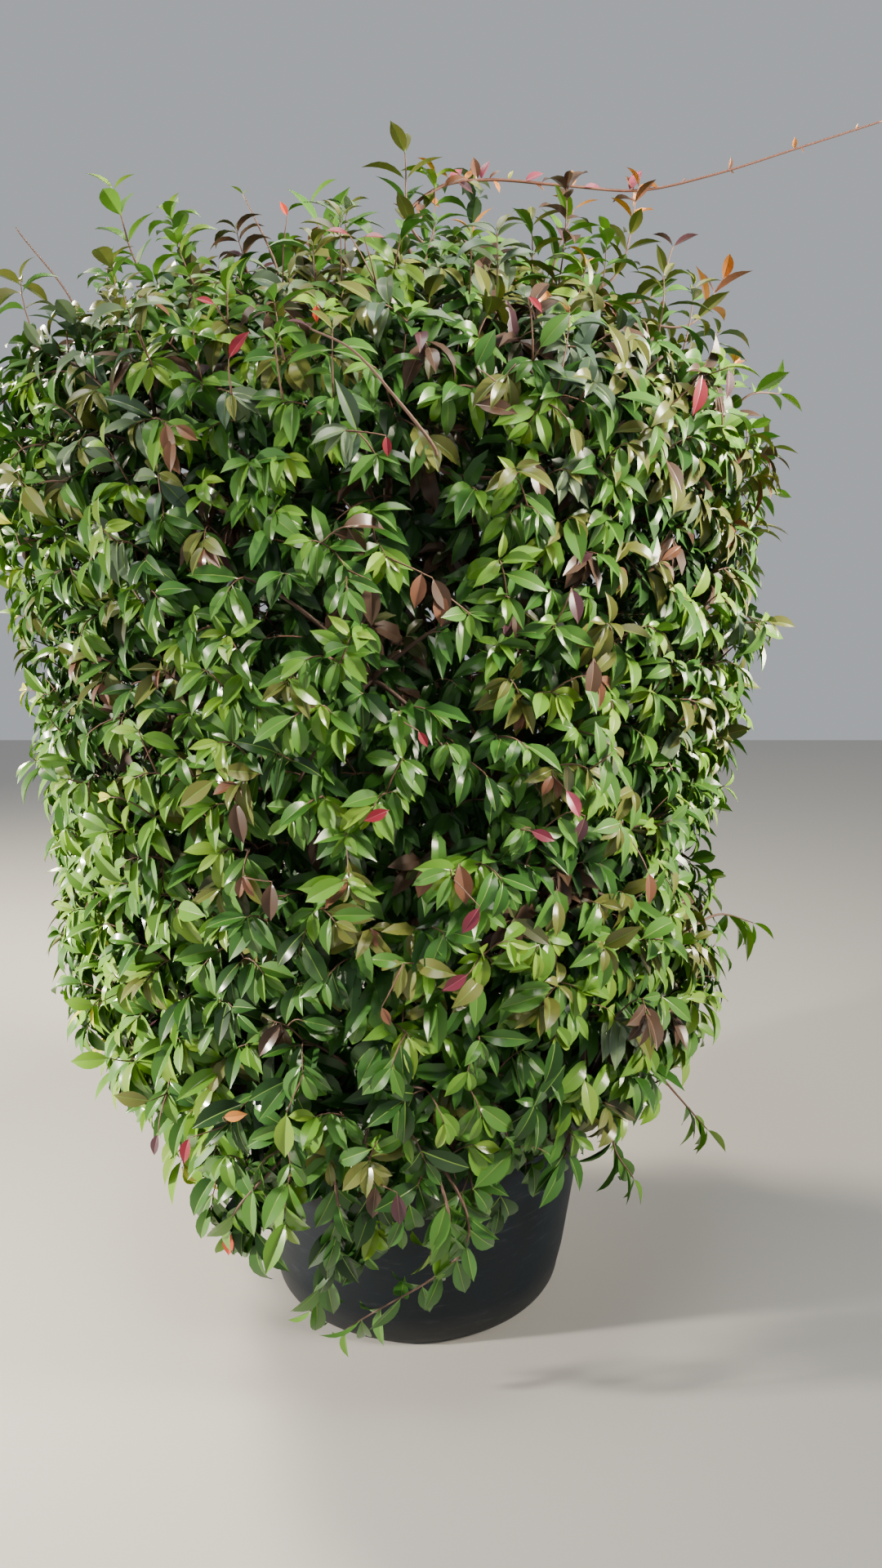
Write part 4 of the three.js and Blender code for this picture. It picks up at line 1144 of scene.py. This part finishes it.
# Each by its name, its way points, how many leaves it bears, the kind of its spray, the share of its
# length where they begin, and their size
long_shoots = [
    ("tall", [(-2, -80, 1950), (-12, -90, 2062)], 8, "olive", 0.5, 1.3),
    ("left_tall", [(-440, -120, 1860), (-480, -150, 1985)], 10, "green", 0.45, 1.1),
    ("left_bare", [(-560, -110, 1800), (-660, -100, 1945)], 0, "green", 0.5, 1.0),
    ("bud", [(-215, -170, 1850), (-280, -100, 1996)], 2, "green", 0.9, 0.45),
    ("pair", [(-120, -260, 1830), (-158, -200, 1945)], 8, "leafy", 0.55, 1.35),
    ("yellow", [(240, -70, 1900), (272, -60, 1985)], 10, "young", 0.5, 1.2),
    ("bronze", [(345, -60, 1880), (388, -20, 2035)], 14, "tawny", 0.5, 1.0),
    ("purple", [(410, -40, 1850), (455, 0, 1945)], 6, "wine", 0.5, 1.0),
    ("orange", [(470, -60, 1800), (540, -20, 1885)], 8, "tawny", 0.6, 1.15),
    ("front_twig", [(56, -480, 1508), (36, -580, 1534), (-8, -608, 1584), (-62, -618, 1640),
                    (-115, -604, 1668)], 2, "wine", 0.95, 0.8),
    ("right_high", [(590, -30, 1690), (655, 0, 1700)], 6, "green", 0.6, 1.1),
    ("right_upper", [(580, -40, 1600), (645, 0, 1606)], 6, "olive", 0.6, 1.1),
    ("right_side", [(585, 0, 1520), (645, 0, 1530)], 6, "leafy", 0.6, 1.1),
    ("right_arm", [(590, -20, 735), (655, -10, 715)], 8, "bright", 0.6, 1.3),
    ("right_trail", [(505, -130, 400), (555, -120, 340)], 8, "green", 0.55, 1.2),
    ("right_low", [(345, -300, 415), (385, -285, 335)], 8, "leafy", 0.5, 1.25),
    ("front_trail", [(90, -520, 380), (-112, -425, 142)], 22, "leafy", 0.34, 1.25),
    ("second_trail", [(-110, -510, 400), (-165, -425, 180)], 20, "leafy", 0.34, 1.3),
    ("third_trail", [(60, -540, 420), (30, -450, 300)], 12, "green", 0.4, 1.3),
    ("left_trail", [(-260, -500, 420), (-300, -440, 330)], 12, "bright", 0.4, 1.2),
]
# Their leaves: each pair's turn from the last in radians, how they lean along the shoot, and droop
long_turn = 1.35
long_sway = (-0.3, 0.3)
long_forward = 0.75
long_forward_shares = (0.7, 1.4)
long_droop_shares = (0.4, 1.8)
low_shoots_below = 800
low_shoot_droop = 1.2
high_shoot_droop = -0.35
long_opening = 0.4
long_face_stray = 0.25
long_length_shares = (0.85, 1.15)
long_arches = (0.3, 0.9)
long_folds = (12, 32)
tangent_step = 0.03
# Not quite upright, so that an upright shoot has a side for its leaves too
about_up = (0.02, 0.01, 1.0)


def smooth_curve(knots, along):
    """A centripetal curve through some points, at shares of it between 0 and 1."""
    knots = np.asarray(knots, dtype=float)
    ends = np.vstack([2 * knots[0] - knots[1], knots, 2 * knots[-1] - knots[-2]])
    pieces = len(knots) - 1
    made = []
    for share in np.atleast_1d(along):
        piece = min(int(share * pieces), pieces - 1)
        weight = share * pieces - piece
        before, start, end, after = ends[piece:piece + 4]
        spans = np.linalg.norm(np.diff(ends[piece:piece + 4], axis=0), axis=1)
        gap_before, gap, gap_after = np.maximum(np.sqrt(spans), 1e-4)
        turn = end - start
        start_way = (start - before) / gap_before - (end - before) / (gap_before + gap) + turn / gap
        end_way = turn / gap - (after - start) / (gap + gap_after) + (after - end) / gap_after
        start_way, end_way = start_way * gap, end_way * gap
        made.append(start + start_way * weight + (3 * turn - 2 * start_way - end_way) * weight ** 2
                    + (start_way + end_way - 2 * turn) * weight ** 3)
    return np.array(made)


def shoot_leaves(knots, count, kind, first, size, source, droop):
    """Leaves in pairs along a long shoot, each pair turned from the last, small at the tip."""
    rows = []
    pairs = max(1, math.ceil(count / 2))
    spots = np.linspace(first, 1, pairs) if count > 2 else np.array([1.0])
    left = count
    for pair, share in enumerate(spots):
        root = smooth_curve(knots, share)[0]
        before = smooth_curve(knots, max(0, share - tangent_step))[0]
        tangent = unit(root - before)
        side = unit(np.cross(tangent, about_up))
        over = np.cross(side, tangent)
        lean = pair * long_turn + source.uniform(*long_sway)
        age = min(pairs - 1 - pair, oldest)
        for hand in (-1, 1):
            if left == 0:
                break
            left -= 1
            away = hand * (side * math.cos(lean) + over * math.sin(lean))
            way = away + tangent * long_forward * source.uniform(*long_forward_shares)
            way = way + source.normal(0, way_stray, 3)
            way[2] -= droop * source.uniform(*long_droop_shares)
            face = outward_at(root) + [0, 0, face_upward] - long_opening * away
            face = unit(face + source.normal(0, long_face_stray, 3))
            long = leaf_length * size * long_sizes[age] * source.uniform(*long_length_shares)
            rows.append(leaf_row(
                root, unit(way), face, long, source.uniform(*leaf_widths),
                source.uniform(*long_arches), source.uniform(*long_folds), spray_ages[kind][age]))
    return rows


trail_source = np.random.default_rng(23)
tracks, rows = [], []
nodes_grown = set()
limbs = np.vstack([mass["mains"].reshape(-1, 3) for mass in masses])
limb_mass = np.repeat(np.arange(len(masses)), [mass["mains"].size // 3 for mass in masses])
deep_limbs = cover_over(limbs)[0] > root_cover
limbs, limb_mass = limbs[deep_limbs], limb_mass[deep_limbs]
for name, way_points, count, kind, first, size in long_shoots:
    nearest = int(np.argmin(np.linalg.norm(limbs - np.array(way_points[0]), axis=1)))
    nodes_grown.add(f"foliage_{masses[limb_mass[nearest]]['name']}")
    knots = [limbs[nearest], *way_points]
    tracks.append(smooth_curve(knots, np.linspace(long_start, 1, long_stations)))
    if count:
        droop = low_shoot_droop if way_points[-1][2] < low_shoots_below else high_shoot_droop
        rows += shoot_leaves(knots, count, kind, first, size, trail_source, droop)
points, faces = tubes(np.array(tracks), np.linspace(*long_radii, long_stations), long_sides)
stalks = add_piece("long_shoots", points, faces, [twig_woods[3]])
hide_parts(*sorted(nodes_grown))
long_leaves = add_leaves("long_shoot_leaves", np.array(rows), True)
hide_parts(*sorted(nodes_grown))

# The runner
# One very long new shoot, as this climber sends out to find a hold. It is red-brown and smooth, is
# nearly level over the roof, then climbs away to the right, with a pair of bronze leaves at each node.
runner_points = [
    (51, -83, 1790), (-12, -80, 1960), (45, -62, 2020), (125, -50, 2036), (260, -30, 2034),
    (395, 0, 2037), (520, 0, 2062), (670, 0, 2106), (810, 0, 2148),
]
runner_radii = (3.2, 1.6)
runner_stations = 120
runner_sides = 10

# New bark: thin, smooth and red-brown, with a slight shine
young_bark = plain_material("young_red_bark", {"Base Color": linear("#6d473a"), "Roughness": 0.5})
track = smooth_curve(runner_points, np.linspace(0, 1, runner_stations))
points, faces = tubes(track[None], np.linspace(*runner_radii, runner_stations), runner_sides)
stalk = add_piece("runner_stalk", points, faces, [young_bark])
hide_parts("runner")
# Its leaves, the older of them nearer the crown: how far across each stands, its length, its
# colour, and the way that its tip points across and up
runner_sprigs = [
    (-8, 34, "bronze", -0.6, 0.7), (10, 36, "copper", 0.3, -0.9), (22, 30, "amber", 0.8, -0.5),
    (38, 40, "olive", -0.5, -0.8), (52, 42, "copper", 0.9, 0.4), (60, 38, "rose", 0.6, 0.8),
    (74, 34, "plum", 0.8, -0.5), (84, 27, "amber", 0.6, 0.8), (92, 30, "olive", 0.9, -0.4),
    (110, 38, "copper", -0.2, 1.0), (116, 36, "rose", 0.3, 1.0), (130, 26, "copper", 0.8, 0.7),
    (135, 24, "amber", 0.6, -0.8), (158, 19, "yellow", 0.3, 0.9), (190, 36, "rose", 0.9, 0.5),
    (196, 30, "copper", 0.7, -0.2), (276, 28, "amber", 0.05, 1.0), (288, 30, "rose", 1.0, 0.1),
    (376, 42, "rose", 0.5, 0.9), (384, 30, "copper", -0.4, 0.9), (390, 25, "amber", 0.9, 0.4),
    (380, 24, "amber", 0.2, -0.9), (466, 13, "copper", 0.5, 0.8), (546, 21, "copper", 0.2, 1.0),
    (550, 12, "bronze", 0.8, -0.5), (662, 19, "amber", -0.1, 1.0), (668, 11, "copper", 0.7, -0.7),
    (760, 9, "amber", 0.3, 1.0), (764, 8, "copper", 0.7, -0.7),
]
# They sit beyond the runner's first stations, which are inside the crown, and have one shape
sprigs_from = 12
sprig_depths = (-0.5, 0.1)
sprig_face = (0, -0.8, 0.6)
sprig_stray = 0.25
sprig_shape = (0.46, 0.5, 20)
rows = []
for across, long, colour, right, upward in runner_sprigs:
    root = min(track[sprigs_from:], key=lambda point: abs(point[0] - across))
    way = unit(np.array([right, trail_source.uniform(*sprig_depths), upward]))
    face = unit(sprig_face + trail_source.normal(0, sprig_stray, 3))
    rows.append(leaf_row(root, way, face, long, *sprig_shape, colour))
runner_leaves = add_leaves("runner_leaves", np.array(rows), True)
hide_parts("runner")

# The studio
# A plain pale floor and a pale surround, with three broad soft lamps and a small one low on the
# left, and a camera at the height, tilt and angle of view from which the plant was seen.
floor_reach = 8
floor_corners = [(x * floor_reach, y * floor_reach, 0) for x, y in ((-1, -1), (1, -1), (1, 1), (-1, 1))]
floor_mesh = bpy.data.meshes.new("floor")
floor_mesh.from_pydata(floor_corners, [], [(0, 1, 2, 3)])
floor = bpy.data.objects.new("floor", floor_mesh)
bpy.context.scene.collection.objects.link(floor)
# Painted board: pale, even and matt
pale = plain_material("pale_floor", {"Base Color": linear("#bfbcb6"), "Roughness": 0.85})
floor_mesh.materials.append(pale)

world = bpy.data.worlds.new("studio")
world.use_nodes = True
world.node_tree.nodes["Background"].inputs["Color"].default_value = linear("#e3e8ee")
world.node_tree.nodes["Background"].inputs["Strength"].default_value = 0.54
bpy.context.scene.world = world


def add_lamp(name, place, target, size, power, colour, spread=180):
    """A square soft lamp that faces a target. A grid can keep its light within some degrees."""
    lamp = bpy.data.lights.new(name, "AREA")
    lamp.shape = "SQUARE"
    lamp.size = size
    lamp.energy = power
    lamp.spread = math.radians(spread)
    lamp.color = linear(colour)[:3]
    holder = bpy.data.objects.new(name, lamp)
    holder.location = place
    way = np.array(target, dtype=float) - place
    holder.rotation_euler = (
        math.acos(-way[2] / np.linalg.norm(way)), 0, math.atan2(way[1], way[0]) - math.pi / 2)
    bpy.context.scene.collection.objects.link(holder)


# Each lamp's place and target, its size in metres, its power in watts and its colour
add_lamp("overhead", (-0.3, -1.1, 4.4), (0, 0, 1.1), 1.8, 128, "#fffaf2")
add_lamp("left_back", (-2.6, 1.6, 3.3), (-0.2, 0, 0.9), 0.7, 285, "#fff2da")
add_lamp("left_side", (-2.8, -0.9, 1.1), (-0.55, -0.3, 0.75), 0.16, 31, "#fff6e8", 64)
add_lamp("right_high", (3.1, -1.1, 2.6), (0.42, 0, 1.6), 1.2, 58, "#fff3df", 46)

camera_data = bpy.data.cameras.new("camera")
camera_data.lens = 24.375
camera_data.sensor_width = 36
camera = bpy.data.objects.new("camera", camera_data)
camera.location = (0.0475, -2.0, 1.34)
camera.rotation_euler = (math.radians(80), 0, 0)
bpy.context.scene.collection.objects.link(camera)
bpy.context.scene.camera = camera
